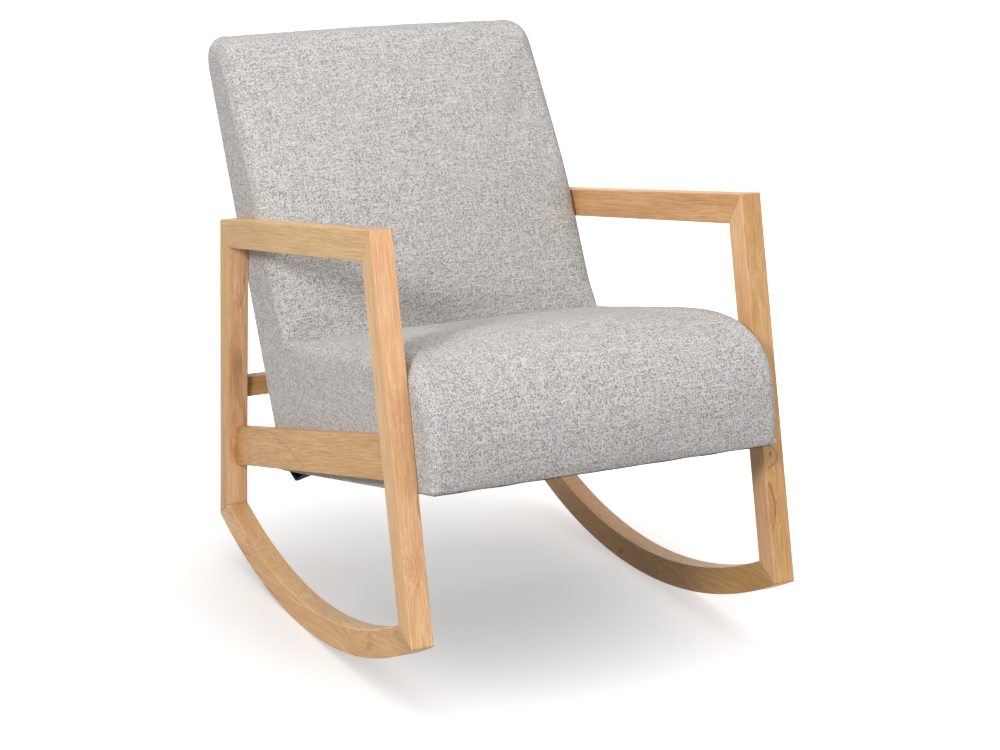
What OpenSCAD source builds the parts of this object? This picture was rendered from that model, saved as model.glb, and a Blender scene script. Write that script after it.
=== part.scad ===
// Rocking chair: two mitred wooden side frames on curved rockers carry one
// upholstered seat and a reclined back. Millimetres, +Z up. The chair faces -Y.
// Left and right are the sitter's, so left is +X.
// Origin: on the floor, midway between the sides, under the middle of the chair's depth.

/* [Overall] */
// Width over the two side frames
overall_w = 660; // [600:5:720]
// Lowest point of the rockers, measured rearwards from the origin
rocker_low_y = -8; // [-20:1:10]

/* [Side frames] */
// Thickness of the frame timber, across the chair
stock_t = 36; // [30:1:42]
// Small chamfer along every timber edge
timber_ease = 1.5; // [0.5:0.5:3]
// Radius of the rockers' running edge
rocker_r = 960; // [880:10:1060]
// Depth of the rocker timber
rocker_w = 44.5; // [38:0.5:52]
// Front end of the rocker's running edge
front_toe_y = -477; // [-490:1:-460]
// Rear end of the rocker's running edge
rear_heel_y = 364; // [345:1:380]
// Width of the front leg seen from the side
front_leg_w = 43; // [36:1:50]
// Lean of the front leg from the vertical, its top rearwards
front_leg_lean = 12.7; // [10:0.1:15]
// Width of the rear leg seen from the side
rear_leg_w = 42; // [36:1:48]
// Lean of the rear leg from the vertical, its top forwards
rear_leg_lean = 5.3; // [3:0.1:8]
// Height of the arm's front top corner
arm_front_z = 722; // [690:1:760]
// Slope of the arm, its rear end lower
arm_slope = 9.2; // [7:0.1:11]
// Depth of the arm timber
arm_w = 47; // [40:1:54]

/* [Seat rails] */
// Depth of the seat rail
seat_rail_h = 67; // [55:1:75]
// How far the rail's outer face lies inside the legs' outer faces
seat_rail_recess = 15; // [8:1:18]
// Slope of the rail, its rear end lower
seat_rail_slope = 14; // [12:0.5:16]
// Height of the rail's top edge where it meets the front leg
seat_rail_front_z = 417; // [405:1:430]

/* [Rear stretcher] */
// Thickness of the stretcher
stretcher_t = 22; // [18:1:28]
// Height of the stretcher
stretcher_h = 35; // [28:1:45]
// Height of the stretcher's middle above the floor
stretcher_z = 317; // [305:1:340]

/* [Dowels and bolts] */
// Diameter of the joint dowels
dowel_d = 8; // [6:1:10]
// Length of the joint dowels
dowel_l = 36; // [30:1:40]
// Distance between the two dowels of a joint
dowel_pitch = 18; // [14:1:20]
// Play around a dowel in its hole
dowel_clear = 0.1; // [0.05:0.05:0.3]
// Thread diameter of the bolts
bolt_d = 8; // [6:1:8]
// Play around a bolt in a plain hole
bolt_clear = 0.5; // [0.2:0.1:0.8]
// Width across the flats of hexagon heads and nuts
hex_af = 13; // [11:1:14]
// Height of hexagon heads and nuts
hex_h = 6; // [5:0.5:7]
// Washer diameter
washer_d = 20; // [16:1:24]
// Washer thickness
washer_t = 1.6; // [1:0.1:2]
// Outside diameter of the threaded inserts in the seat rails
insert_d = 12; // [11:1:14]
// Length of the threaded inserts
insert_l = 15; // [12:1:17]
// Play between a bolt and the thread that holds it
thread_clear = 0.1; // [0.05:0.05:0.2]

/* [Seat] */
// Gap between the upholstery and each side frame
side_gap = 0.3; // [0.1:0.1:0.8]
// Front bottom edge of the seat, measured rearwards from the origin
seat_front_y = -472; // [-482:1:-464]
// Height of the seat's front bottom edge
seat_front_z = 352; // [340:1:365]
// Slope of the seat, its rear end lower
seat_slope = 12.7; // [11:0.1:14]
// Length of the seat's underside, from its front edge to the back's foot
seat_l = 631; // [610:1:650]
// Thickness of the seat, square to its slope
seat_h = 217; // [200:1:230]
// Depth of the rounded front of the seat's top
seat_nose_l = 170; // [140:5:200]
// How far the seat's front bulges ahead of its bottom edge
seat_bulge = 14; // [6:1:20]
// Height of the widest bulge above the bottom edge
seat_bulge_h = 84; // [70:2:100]
// Rounding along the seat's side edges on top
seat_edge_r = 36; // [20:1:50]
// Rounding of the seat's front vertical edges
seat_corner_r = 16; // [12:1:30]

/* [Back] */
// Distance from the back's foot forward to the side seam between seat and back
seam_lead = 38.5; // [30:0.5:48]
// Recline of the back's rear face
back_rear_recline = 26.3; // [24:0.1:28]
// Recline of the back's front face above the seat
back_front_recline = 24.8; // [23:0.1:26.3]
// Recline of the back's front face towards the top
back_upper_recline = 34; // [31:0.1:38]
// Height where the two front faces would meet
back_bend_z = 668; // [640:1:700]
// Radius of the bend between them
back_bend_r = 600; // [400:20:700]
// Height of the back's top
back_top_z = 910; // [890:1:925]
// Thickness of the back just above the seat
back_t = 124; // [112:1:134]
// Rounding along the back's brow, between its front face and its top
back_brow_r = 60; // [40:1:70]
// Rounding along the back's front edges at the sides
back_edge_r = 24; // [14:1:32]
// Rounding along the back's rear edges
back_rear_r = 8; // [5:1:12]
// Rounding along the top's rear edge
back_crest_r = 32; // [20:1:40]
// Rounding of the back's upper corners seen from the front
back_corner_r = 30; // [20:1:44]

/* [Upholstery] */
// Thickness of the fabric covers
cover_t = 2; // [1.5:0.5:3]
// Width of the cover turned under the seat and round the back's rear
cover_turn = 32; // [24:1:40]
// Thickness of the black cloth under the seat
dust_cover_t = 1; // [0.6:0.2:1.6]
// How far the black cloth and the rear panel stay inside the outline
panel_inset = 8; // [5:1:14]
// Foam between the seat's rounded front corners and the seat box
front_wrap = 4; // [2:1:12]

/* [Seat box] */
// Thickness of the side boards and the rear board of the seat box
board_t = 18; // [15:1:20]
// Thickness of the front board, which the springs pull on
front_board_t = 25; // [18:1:30]
// Height of the boards of the seat box
board_h = 86; // [78:1:98]
// Leg length of the triangular corner blocks
corner_block = 55; // [45:1:65]
// Height of the corner blocks
corner_block_h = 68; // [56:1:76]
// Number of zigzag springs
spring_count = 4; // [3:1:5]
// Diameter of the spring wire
spring_wire = 3.6; // [3:0.2:4]
// Wanted distance from one cross wire of a spring to the next
spring_pitch = 32; // [26:1:36]
// Length of a spring's straight cross wires
spring_bar = 34; // [26:1:40]
// Distance between neighbouring springs
spring_spacing = 118; // [104:1:124]
// Sheet thickness of the spring clips
clip_t = 1.2; // [0.8:0.2:1.6]
// Width of the spring clips
clip_w = 20; // [14:1:24]
// Thickness of the felt over the springs
felt_t = 4; // [3:0.5:6]
// Number of bolts between the seat box and each seat rail
seat_bolt_count = 3; // [2:1:4]

/* [Back frame] */
// Width of a back post across the chair
post_w = 25; // [20:1:30]
// Depth of the back posts
post_d = 55; // [45:1:60]
// Depth of the rails between the posts, flush with the posts' front faces
back_rail_t = 22; // [18:1:28]
// Distance from the top of the back's frame to the start of the rounding above it
top_wrap = 6; // [2:1:20]
// Height of the back's top rail
top_rail_h = 60; // [45:1:70]
// Height of the back's lower rails
lower_rail_h = 50; // [40:1:60]
// Height of the lumbar rail's lower edge above the back's foot, along the back
lumbar_rail_z = 215; // [190:5:240]
// Width of the webbing
webbing_w = 50; // [40:1:60]
// Thickness of the webbing
webbing_t = 2; // [1.5:0.5:3]
// Number of webbing straps across the back, and of those up it
webbing_count = 4; // [3:1:5]
// Height of the lower back bolt above the back's foot, along the back
back_bolt_z = 34; // [30:1:40]
// Distance between the two back bolts of a side
back_bolt_pitch = 36; // [26:1:38]
// Diameter of the back bolts' round heads
round_head_d = 20; // [16:1:22]
// Height of the back bolts' round heads
round_head_h = 4; // [3:0.5:6]

/* [Hidden] */

$fn = 48;
LEFT = 1;
RIGHT = -1;
far = 2000;        // longer than any piece
arc_steps = 6;     // straight steps in a rounded corner of the upholstery
nose_steps = 12;   // straight steps in the seat's rounded front
nose_power = 2.5;  // squareness of the seat's rounded front
seam_gap = 0.3;    // between the seat's and the back's covers
fit_gap = 1;       // between the seat box and the back's frame
over = 1;          // how far a cut reaches past the piece that it cuts
joint_reach = 0.3; // how far a mitre's cut runs past its corners, as a share of its length

maple = "burlywood";
cloth = "lightgray";
foam_colour = "lightyellow";
board_colour = "tan";
steel = "silver";
black_cloth = "black";

// ---- plane geometry: points are [y, z], angles are measured from +Y towards +Z ----

function dir(a) = [cos(a), sin(a)];
function left_of(a) = [-sin(a), cos(a)];
function cross2(u, v) = u[0] * v[1] - u[1] * v[0];
// Where the line through p at angle a meets the line through q at angle b
function meet(p, a, q, b) = p + dir(a) * cross2(q - p, dir(b)) / cross2(dir(a), dir(b));
// Lower point where the line through p at angle a meets the circle about c with radius r
function meet_arc(p, a, c, r) =
    let (b = (p - c) * dir(a), d = (p - c) * (p - c) - r * r)
    p + dir(a) * (-b - sqrt(b * b - d));
function angle_of(v) = atan2(v[1], v[0]);
function wrap(a) = a > 180 ? a - 360 : a < -180 ? a + 360 : a;

// Points of the corner at b between a and c, rounded with radius r
function rounded_corner(a, b, c, r) =
    let (
        u = (a - b) / norm(a - b),
        v = (c - b) / norm(c - b),
        half = acos(max(-1, min(1, u * v))) / 2,
        centre = b + (u + v) / norm(u + v) * r / sin(half),
        start = angle_of(b + u * r / tan(half) - centre),
        sweep = wrap(angle_of(b + v * r / tan(half) - centre) - start)
    )
    r <= 0 ? [b] : [for (k = [0 : arc_steps]) centre + r * dir(start + sweep * k / arc_steps)];

// Outline through corners given as [[y, z], radius]
function rounded_outline(corners) =
    let (n = len(corners))
    [for (i = [0 : n - 1])
        each rounded_corner(corners[(i + n - 1) % n][0], corners[i][0],
                            corners[(i + 1) % n][0], corners[i][1])];

// ---- side frame: outer and inner corners, seen from the side ----

half_w = overall_w / 2;
inner_x = half_w - stock_t;
rocker_centre = [rocker_low_y, rocker_r];
front_leg_a = 90 - front_leg_lean;
rear_leg_a = 90 + rear_leg_lean;
arm_a = -arm_slope;
rail_a = -seat_rail_slope;

function arc_z(y) = rocker_r - sqrt(rocker_r * rocker_r - pow(y - rocker_low_y, 2));
toe_out = [front_toe_y, arc_z(front_toe_y)];
heel_out = [rear_heel_y, arc_z(rear_heel_y)];
arm_front_out = toe_out + dir(front_leg_a) * (arm_front_z - toe_out[1]) / sin(front_leg_a);
arm_rear_out = meet(arm_front_out, arm_a, heel_out, rear_leg_a);
front_inner = toe_out - front_leg_w * left_of(front_leg_a);
rear_inner = heel_out + rear_leg_w * left_of(rear_leg_a);
arm_inner = arm_front_out - arm_w * left_of(arm_a);
arm_front_in = meet(arm_inner, arm_a, front_inner, front_leg_a);
arm_rear_in = meet(arm_inner, arm_a, rear_inner, rear_leg_a);
toe_in = meet_arc(front_inner, front_leg_a, rocker_centre, rocker_r - rocker_w);
heel_in = meet_arc(rear_inner, rear_leg_a, rocker_centre, rocker_r - rocker_w);

seat_rail_t = stock_t - seat_rail_recess;
rail_top_front = front_inner
    + dir(front_leg_a) * (seat_rail_front_z - front_inner[1]) / sin(front_leg_a);
rail_mid = rail_top_front - seat_rail_h / 2 * left_of(rail_a);
rail_mid_front = meet(rail_mid, rail_a, front_inner, front_leg_a);
rail_mid_rear = meet(rail_mid, rail_a, rear_inner, rear_leg_a);

stretcher_y = rear_inner[0] + rear_leg_w / 2 / sin(rear_leg_a)
    + (stretcher_z - rear_inner[1]) / tan(rear_leg_a);

module on_side(side) mirror([side == RIGHT ? 1 : 0, 0, 0]) children();

// Extrudes an outline of [y, z] points from x = x0 to x = x1
module across(x0, x1) translate([x0, 0, 0]) rotate([90, 0, 90]) linear_extrude(x1 - x0) children();

// Rectangle with chamfered corners
module eased_rect(x0, x1, y0, y1) {
    e = timber_ease;
    polygon([[x0 + e, y0], [x1 - e, y0], [x1, y0 + e], [x1, y1 - e],
             [x1 - e, y1], [x0 + e, y1], [x0, y1 - e], [x0, y0 + e]]);
}

// Long straight timber between x0 and x1: one edge runs through p at angle a, and the
// timber lies from there to w on the left of that direction, or on its right if w is negative
module timber(p, a, w, x0, x1)
    translate([0, p[0], p[1]]) rotate([a, 0, 0]) rotate([90, 0, 0])
        linear_extrude(far, center = true) eased_rect(x0, x1, min(0, w), max(0, w));

// Cuts a timber at the joint from outer corner o1 to inner corner i1 and at the one from o2 to i2
module between_joints(o1, i1, o2, i2) {
    reach = joint_reach;
    across(inner_x - over, half_w + over)
        polygon([o1 + reach * (o1 - i1), o2 + reach * (o2 - i2),
                 i2 - reach * (o2 - i2), i1 - reach * (o1 - i1)]);
}

// Round pin of length l about p, along the direction a in the side plane, at x
module pin_at(p, a, x, d, l)
    translate([x, p[0], p[1]]) rotate([a, 0, 0]) rotate([-90, 0, 0])
        cylinder(d = d, h = l, center = true);

// The pair of dowels, or of their holes, in a mitre between corners o and i
module mitre_dowels(o, i, grow = 0)
    for (k = [-0.5, 0.5])
        pin_at((o + i) / 2, angle_of(o - i) + 90, half_w - stock_t / 2 + k * dowel_pitch,
               dowel_d + 2 * grow, dowel_l + 2 * grow);

// The pair of dowels, or of their holes, in one end of the seat rail
module rail_dowels(p, grow = 0)
    for (k = [-1, 1])
        pin_at(p + k * dowel_pitch * left_of(rail_a), rail_a, inner_x + seat_rail_t / 2,
               dowel_d + 2 * grow, dowel_l + 2 * grow);

// The pair of dowels, or of their holes, in the left end of the stretcher
module stretcher_end_dowels(grow = 0)
    for (k = [-0.5, 0.5])
        translate([inner_x, stretcher_y, stretcher_z + k * dowel_pitch]) rotate([0, 90, 0])
            cylinder(d = dowel_d + 2 * grow, h = dowel_l + 2 * grow, center = true);

module arm_rail(side) color(maple) on_side(side) difference() {
    intersection() {
        timber(arm_front_out, arm_a, -arm_w, inner_x, half_w);
        between_joints(arm_front_out, arm_front_in, arm_rear_out, arm_rear_in);
    }
    mitre_dowels(arm_front_out, arm_front_in, dowel_clear);
    mitre_dowels(arm_rear_out, arm_rear_in, dowel_clear);
}

module front_leg(side) color(maple) on_side(side) difference() {
    intersection() {
        timber(toe_out, front_leg_a, -front_leg_w, inner_x, half_w);
        between_joints(toe_out, toe_in, arm_front_out, arm_front_in);
    }
    mitre_dowels(toe_out, toe_in, dowel_clear);
    mitre_dowels(arm_front_out, arm_front_in, dowel_clear);
    rail_dowels(rail_mid_front, dowel_clear);
}

module rear_leg(side) color(maple) on_side(side) difference() {
    intersection() {
        timber(heel_out, rear_leg_a, rear_leg_w, inner_x, half_w);
        between_joints(heel_out, heel_in, arm_rear_out, arm_rear_in);
    }
    mitre_dowels(heel_out, heel_in, dowel_clear);
    mitre_dowels(arm_rear_out, arm_rear_in, dowel_clear);
    rail_dowels(rail_mid_rear, dowel_clear);
    stretcher_end_dowels(dowel_clear);
}

module rocker(side) color(maple) on_side(side) difference() {
    reach = joint_reach;
    below = -30;     // under the rocker's lowest point
    toe_cut = toe_out + reach * (toe_out - toe_in);
    heel_cut = heel_out + reach * (heel_out - heel_in);
    intersection() {
        translate([0, rocker_centre[0], rocker_centre[1]]) rotate([0, 90, 0])
            rotate_extrude($fn = 256) eased_rect(rocker_r - rocker_w, rocker_r, inner_x, half_w);
        across(inner_x - over, half_w + over)
            polygon([toe_cut, [toe_cut[0], below], [heel_cut[0], below], heel_cut,
                     heel_in - reach * (heel_out - heel_in), toe_in - reach * (toe_out - toe_in)]);
    }
    mitre_dowels(toe_out, toe_in, dowel_clear);
    mitre_dowels(heel_out, heel_in, dowel_clear);
}

module frame_dowels(side) color(maple) on_side(side) {
    mitre_dowels(arm_front_out, arm_front_in);
    mitre_dowels(arm_rear_out, arm_rear_in);
    mitre_dowels(toe_out, toe_in);
    mitre_dowels(heel_out, heel_in);
    rail_dowels(rail_mid_front);
    rail_dowels(rail_mid_rear);
}

module rear_stretcher() color(maple) difference() {
    translate([0, stretcher_y, stretcher_z]) rotate([0, 90, 0])
        linear_extrude(2 * inner_x, center = true)
            eased_rect(-stretcher_h / 2, stretcher_h / 2, -stretcher_t / 2, stretcher_t / 2);
    for (side = [LEFT, RIGHT]) on_side(side) stretcher_end_dowels(dowel_clear);
}

module stretcher_dowels() color(maple)
    for (side = [LEFT, RIGHT]) on_side(side) stretcher_end_dowels();

// ---- upholstered unit: the seat's and the back's outlines, seen from the side ----

unit_x = inner_x - side_gap;
seat_a = -seat_slope;
seat_origin = [seat_front_y, seat_front_z];
// Point l along the seat's underside and h square to it
function seat_point(l, h) = seat_origin + l * dir(seat_a) + h * left_of(seat_a);

rear_a = 90 - back_rear_recline;
face_a = 90 - back_front_recline;
brow_a = 90 - back_upper_recline;
back_foot = seat_point(seat_l, 0);
back_top_rear = meet(back_foot, rear_a, [0, back_top_z], 0);
// Where the back's front face meets the seat's top
back_face = meet(back_top_rear + back_t * left_of(rear_a), rear_a,
                 seat_point(0, seat_h), seat_a);
back_bend = meet(back_face, face_a, [0, back_bend_z], 0);
// Top and foot of the side seam between the seat's and the back's covers
seam_low = meet(back_foot - [seam_lead, 0], 90, seat_origin, seat_a);
seam_top = meet(seam_low, 90, back_face, face_a);

// Point at angle t of the seat's rounded front, a superellipse drawn in by e
function nose_point(t, e) =
    seat_point(seat_nose_l - (seat_nose_l + seat_bulge - e) * pow(cos(t), 2 / nose_power),
               seat_bulge_h + (seat_h - seat_bulge_h - e) * pow(sin(t), 2 / nose_power));
// Point at share k of the front's height from its bottom edge to the bulge, drawn in by e
function front_point(k, e) =
    seat_point(e - seat_bulge * (1 - (1 - k) * (1 - k)), e + (seat_bulge_h - e) * k);

// Seat outline, drawn in by e all round except at the seam with the back, which it
// passes by reach
function seat_outline(e, reach) = concat(
    [for (k = [nose_steps : -1 : 0]) nose_point(90 * k / nose_steps, e)],
    [for (k = [nose_steps / 2 - 1 : -1 : 0]) front_point(2 * k / nose_steps, e)],
    [meet(seam_low + [reach, 0], 90, seat_point(0, e), seat_a),
     seam_top + [reach, 0],
     meet(back_face + [reach, 0], face_a, seat_point(0, seat_h - e), seat_a)]
);

// Back outline, drawn in by e all round except at the seam with the seat, which it
// passes by reach
function back_outline(e, reach) =
    let (
        rear = back_top_rear + e * left_of(rear_a),
        face = back_face - e * left_of(face_a),
        bend = meet(face, face_a, back_bend - e * left_of(brow_a), brow_a),
        top = [0, back_top_z - e],
        brow = meet(bend, brow_a, top, 0),
        crest = meet(rear, rear_a, top, 0),
        foot = meet(rear, rear_a, seat_point(0, e), seat_a)
    )
    concat(
        [seam_top - [reach, 0],
         meet(seam_low - [reach, 0], 90, seat_point(0, e), seat_a), foot],
        rounded_corner(foot, crest, brow, back_crest_r - e),
        rounded_corner(crest, brow, bend, back_brow_r - e),
        rounded_corner(brow, bend, face, back_bend_r),
        [meet(face, face_a, seat_point(0, seat_h), seat_a) - reach * dir(seat_a)]
    );

module in_seat() translate([0, seat_front_y, seat_front_z]) rotate([seat_a, 0, 0]) children();
module in_back() translate([0, back_foot[0], back_foot[1]]) rotate([-back_rear_recline, 0, 0])
    children();

// Rounded rectangle with its own radius at each pair of corners
module soft_rect(x, y0, y1, r0, r1)
    polygon(rounded_outline([[[-x, y0], r0], [[x, y0], r0], [[x, y1], r1], [[-x, y1], r1]]));

// Everything inside the seat's skin, drawn in by e
module seat_form(e, reach = 0) intersection() {
    across(-unit_x + e, unit_x - e) polygon(seat_outline(e, reach));
    in_seat() rotate([90, 0, 0]) linear_extrude(far, center = true)
        soft_rect(unit_x - e, -far, seat_h - e, 1, seat_edge_r - e);
    in_seat() linear_extrude(far, center = true)
        soft_rect(unit_x - e, e, far, seat_corner_r - e, 1);
}

// Everything inside the back's skin, drawn in by e
module back_form(e, reach = -seam_gap) intersection() {
    across(-unit_x + e, unit_x - e) polygon(back_outline(e, reach));
    in_back() linear_extrude(far, center = true)
        soft_rect(unit_x - e, -far, -e, 1, back_rear_r - e);
    translate([0, back_face[0], back_face[1]]) rotate([-back_front_recline, 0, 0])
        linear_extrude(far, center = true) soft_rect(unit_x - e, e, far, back_edge_r - e, 1);
    rotate([90, 0, 0]) linear_extrude(far, center = true)
        soft_rect(unit_x - e, -far, back_top_z - e, 1, back_corner_r - e);
}

// ---- seat box: x across, y along the seat's underside, z square to it ----

board_x = unit_x - cover_t;          // outer faces of the side boards
box_x = board_x - board_t;           // inner faces of the side boards
board_low = cover_t;                 // the boards stand on the turned-under cover
board_top = board_low + board_h;
frame_inset = 2 * cover_t;           // the back's frame lies under panel and turned cover
post_front = back_top_rear + (frame_inset + post_d) * left_of(rear_a);
front_board_l = seat_corner_r + front_wrap;
rear_board_l = norm(meet(post_front, rear_a, seat_point(0, board_low), seat_a)
    - seat_point(0, board_low)) - fit_gap - board_t;
block_front_l = front_board_l + front_board_t;
block_rear_l = rear_board_l;

wire_hole = spring_wire + 2 * bolt_clear;
clip_loop = wire_hole + 2 * clip_t;
spring_z = board_top + clip_loop / 2;
deck = board_top + clip_loop;        // underside of the felt
spring_first_l = front_board_l + front_board_t / 2;
spring_last_l = rear_board_l + board_t / 2;
// An even number of loops, so that both ends of a spring look alike, and whole tenths
spring_loops = 2 * round((spring_last_l - spring_first_l) / spring_pitch / 2);
spring_step = floor(10 * (spring_last_l - spring_first_l) / spring_loops) / 10;

// The seat bolts are spread evenly between the corner blocks, on the rail's middle line
bolt_first_l = block_front_l + corner_block + washer_d;
bolt_last_l = block_rear_l - corner_block - washer_d;
seat_bolt_points = [
    for (k = [0 : seat_bolt_count - 1])
        let (l = bolt_first_l + (bolt_last_l - bolt_first_l) * k / (seat_bolt_count - 1))
        meet(rail_mid, rail_a, seat_point(l, 0), 90 + seat_a)
];

// Puts a piece at each of a side's seat bolts, its axis along +X from x = 0
module at_seat_bolts()
    for (p = seat_bolt_points)
        translate([0, p[0], p[1]]) rotate([0, 90, 0]) children();

// Puts a piece at each of a side's back bolts, its axis along +X from x = 0
module at_back_bolts()
    in_back() for (k = [0, 1])
        translate([0, -frame_inset - post_d / 2, back_bolt_z + k * back_bolt_pitch])
            rotate([0, 90, 0]) children();

// Round bar from x = x0 to x = x1 on a bolt's axis
module bar_along_x(d, x0, x1) translate([0, 0, x0]) cylinder(d = d, h = x1 - x0);
module hex_along_x(x0, x1) translate([0, 0, x0])
    cylinder(d = hex_af / cos(30), h = x1 - x0, $fn = 6);

module seat_rail(side) color(maple) on_side(side) difference() {
    intersection() {
        timber(rail_top_front, rail_a, -seat_rail_h, inner_x, inner_x + seat_rail_t);
        across(inner_x - over, half_w)
            polygon([front_inner - far * dir(front_leg_a), rear_inner - far * dir(rear_leg_a),
                     rear_inner + far * dir(rear_leg_a), front_inner + far * dir(front_leg_a)]);
    }
    rail_dowels(rail_mid_front, dowel_clear);
    rail_dowels(rail_mid_rear, dowel_clear);
    at_seat_bolts() bar_along_x(insert_d + 2 * thread_clear, inner_x - over, inner_x + insert_l);
}

module threaded_inserts() color(steel)
    for (side = [LEFT, RIGHT]) on_side(side) at_seat_bolts() difference() {
        bar_along_x(insert_d, inner_x, inner_x + insert_l);
        bar_along_x(bolt_d + 2 * thread_clear, inner_x - over, inner_x + insert_l + over);
    }

module seat_bolts() color(steel)
    for (side = [LEFT, RIGHT]) on_side(side) at_seat_bolts() {
        hex_along_x(box_x - washer_t - hex_h, box_x - washer_t);
        bar_along_x(bolt_d, box_x - washer_t, inner_x + insert_l - over);
    }

module washer(x) difference() {
    bar_along_x(washer_d, x - washer_t, x);
    bar_along_x(bolt_d + 2 * bolt_clear, x - washer_t - over, x + over);
}

module seat_bolt_washers() color(steel)
    for (side = [LEFT, RIGHT]) on_side(side) at_seat_bolts() washer(box_x);

// A side board runs from the seat's front to the rear of the back and laps its post
module seat_side_board(side) color(board_colour) on_side(side) difference() {
    rear = back_top_rear + max(frame_inset, back_rear_r) * left_of(rear_a);
    across(box_x, board_x) polygon([
        seat_point(front_board_l, board_low),
        seat_point(front_board_l, board_top),
        meet(rear, rear_a, seat_point(0, board_top), seat_a),
        meet(rear, rear_a, seat_point(0, board_low), seat_a)
    ]);
    at_seat_bolts() bar_along_x(bolt_d + 2 * bolt_clear, box_x - over, board_x + over);
    at_back_bolts() bar_along_x(bolt_d + 2 * bolt_clear, box_x - over, board_x + over);
    at_back_bolts()
        bar_along_x(round_head_d + 2 * bolt_clear, board_x - round_head_h - bolt_clear, board_x + over);
}

// Front or rear board, t thick, with its front face at l
module cross_board(l, t) color(board_colour) in_seat()
    translate([-box_x, l, board_low]) cube([2 * box_x, t, board_h]);

module seat_corner_blocks() color(board_colour)
    for (side = [LEFT, RIGHT]) on_side(side) in_seat()
        translate([box_x, 0, board_low]) linear_extrude(corner_block_h) {
            translate([0, block_front_l]) polygon([[0, 0], [0, corner_block], [-corner_block, 0]]);
            translate([0, block_rear_l]) polygon([[0, 0], [-corner_block, 0], [0, -corner_block]]);
        }

// Puts a piece at the front end of each spring
module at_springs() in_seat()
    for (k = [0 : spring_count - 1])
        translate([(k - (spring_count - 1) / 2) * spring_spacing, spring_first_l, spring_z])
            children();

// Cross wires joined by half rings, left and right in turn
module seat_springs() color(steel) at_springs() {
    for (k = [0 : spring_loops])
        translate([0, k * spring_step, 0]) rotate([0, 90, 0])
            cylinder(d = spring_wire, h = spring_bar, center = true, $fn = 16);
    for (k = [0 : spring_loops - 1]) {
        side = k % 2 == 0 ? LEFT : RIGHT;
        translate([side * spring_bar / 2, (k + 0.5) * spring_step, 0]) rotate([0, 0, -90 * side])
            rotate_extrude(angle = 180, $fn = 24)
                translate([spring_step / 2, 0]) circle(d = spring_wire, $fn = 16);
    }
}

// A loop of sheet metal round each end wire, with a tail nailed to the board
module spring_clips() color(steel) at_springs()
    for (end = [0, 1])
        translate([0, end * spring_loops * spring_step, 0]) mirror([0, 1 - end, 0])
            rotate([90, 0, 90]) linear_extrude(clip_w, center = true) difference() {
                union() {
                    circle(d = clip_loop);
                    translate([0, -clip_loop / 2]) square([board_t / 2, clip_t]);
                }
                circle(d = wire_hole);
            }

module spring_felt() color("gray") in_seat()
    translate([-box_x, front_board_l, deck])
        cube([2 * box_x, rear_board_l + board_t - front_board_l, felt_t]);

// Room of the seat box with its springs and felt
module seat_box_room() in_seat() {
    translate([-board_x, front_board_l, -far + board_top]) cube([2 * board_x, far, far]);
    translate([-box_x, front_board_l, 0]) cube([2 * box_x, far, deck + felt_t]);
}

module seat_foam() color(foam_colour) difference() {
    seat_form(cover_t);
    seat_box_room();
}

// The cover is open to the back and, inside its turned edge, underneath
module seat_cover() color(cloth) difference() {
    seat_form(0);
    seat_form(cover_t, over);
    in_seat() translate([-unit_x + cover_turn, cover_turn, -over])
        cube([2 * (unit_x - cover_turn), far, cover_t + 2 * over]);
    for (side = [LEFT, RIGHT]) on_side(side) at_seat_bolts()
        bar_along_x(bolt_d + 2 * bolt_clear, board_x - over, unit_x + over);
}

module dust_cover() color(black_cloth) in_seat()
    translate([-unit_x + panel_inset, panel_inset, -dust_cover_t])
        cube([2 * (unit_x - panel_inset), seat_l - 2 * panel_inset, dust_cover_t]);

// ---- back frame: x across, y square to the back's rear face, z along it from its foot ----

post_x = box_x - post_w;             // inner faces of the posts
crest_z = norm(back_top_rear - back_foot) - back_crest_r / tan(rear_a / 2);
frame_top = crest_z - top_wrap;
top_rail_z = frame_top - top_rail_h;
bottom_rail_z = back_bolt_z + back_bolt_pitch + washer_d;
webbing_y = -frame_inset - post_d;   // front faces of posts and rails

// Everything rearwards of y in the back's frame
module behind(y) in_back() translate([-far, y, -far]) cube(2 * far);

// Rows of dowels, or of their holes, between the left post and the ends of the rails
module back_dowels(grow = 0) in_back()
    for (rail = [[top_rail_z, top_rail_h], [lumbar_rail_z, lower_rail_h],
                 [bottom_rail_z, lower_rail_h]])
        for (k = [-0.5, 0.5])
            translate([post_x, webbing_y + back_rail_t / 2,
                       rail[0] + rail[1] / 2 + k * dowel_pitch])
                rotate([0, 90, 0])
                    cylinder(d = dowel_d + 2 * grow, h = dowel_l + 2 * grow, center = true);

module back_post(side) color(board_colour) on_side(side) difference() {
    intersection() {
        in_back() translate([post_x, webbing_y, -far]) cube([post_w, post_d, far + frame_top]);
        in_seat() translate([0, 0, board_low]) cube(far);
    }
    back_dowels(dowel_clear);
    at_back_bolts() bar_along_x(bolt_d + 2 * bolt_clear, post_x - over, box_x + over);
}

// Rail between the posts, with its lower edge at z
module back_rail(z, h) color(board_colour) difference() {
    in_back() translate([-post_x, webbing_y, z]) cube([2 * post_x, back_rail_t, h]);
    for (side = [LEFT, RIGHT]) on_side(side) back_dowels(dowel_clear);
}

module back_frame_dowels() color(maple)
    for (side = [LEFT, RIGHT]) on_side(side) back_dowels();

// Straps across the posts, and over them straps from the lumbar rail to the top rail
module back_webbing() color("dimgray") in_back() {
    share = 1 / (webbing_count - 1);
    for (k = [0 : webbing_count - 1]) {
        translate([-box_x, webbing_y - webbing_t,
                   lumbar_rail_z + k * share * (frame_top - lumbar_rail_z - webbing_w)])
            cube([2 * box_x, webbing_t, webbing_w]);
        translate([-post_x + k * share * (2 * post_x - webbing_w), webbing_y - 2 * webbing_t,
                   lumbar_rail_z])
            cube([webbing_w, webbing_t, frame_top - lumbar_rail_z]);
    }
}

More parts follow.
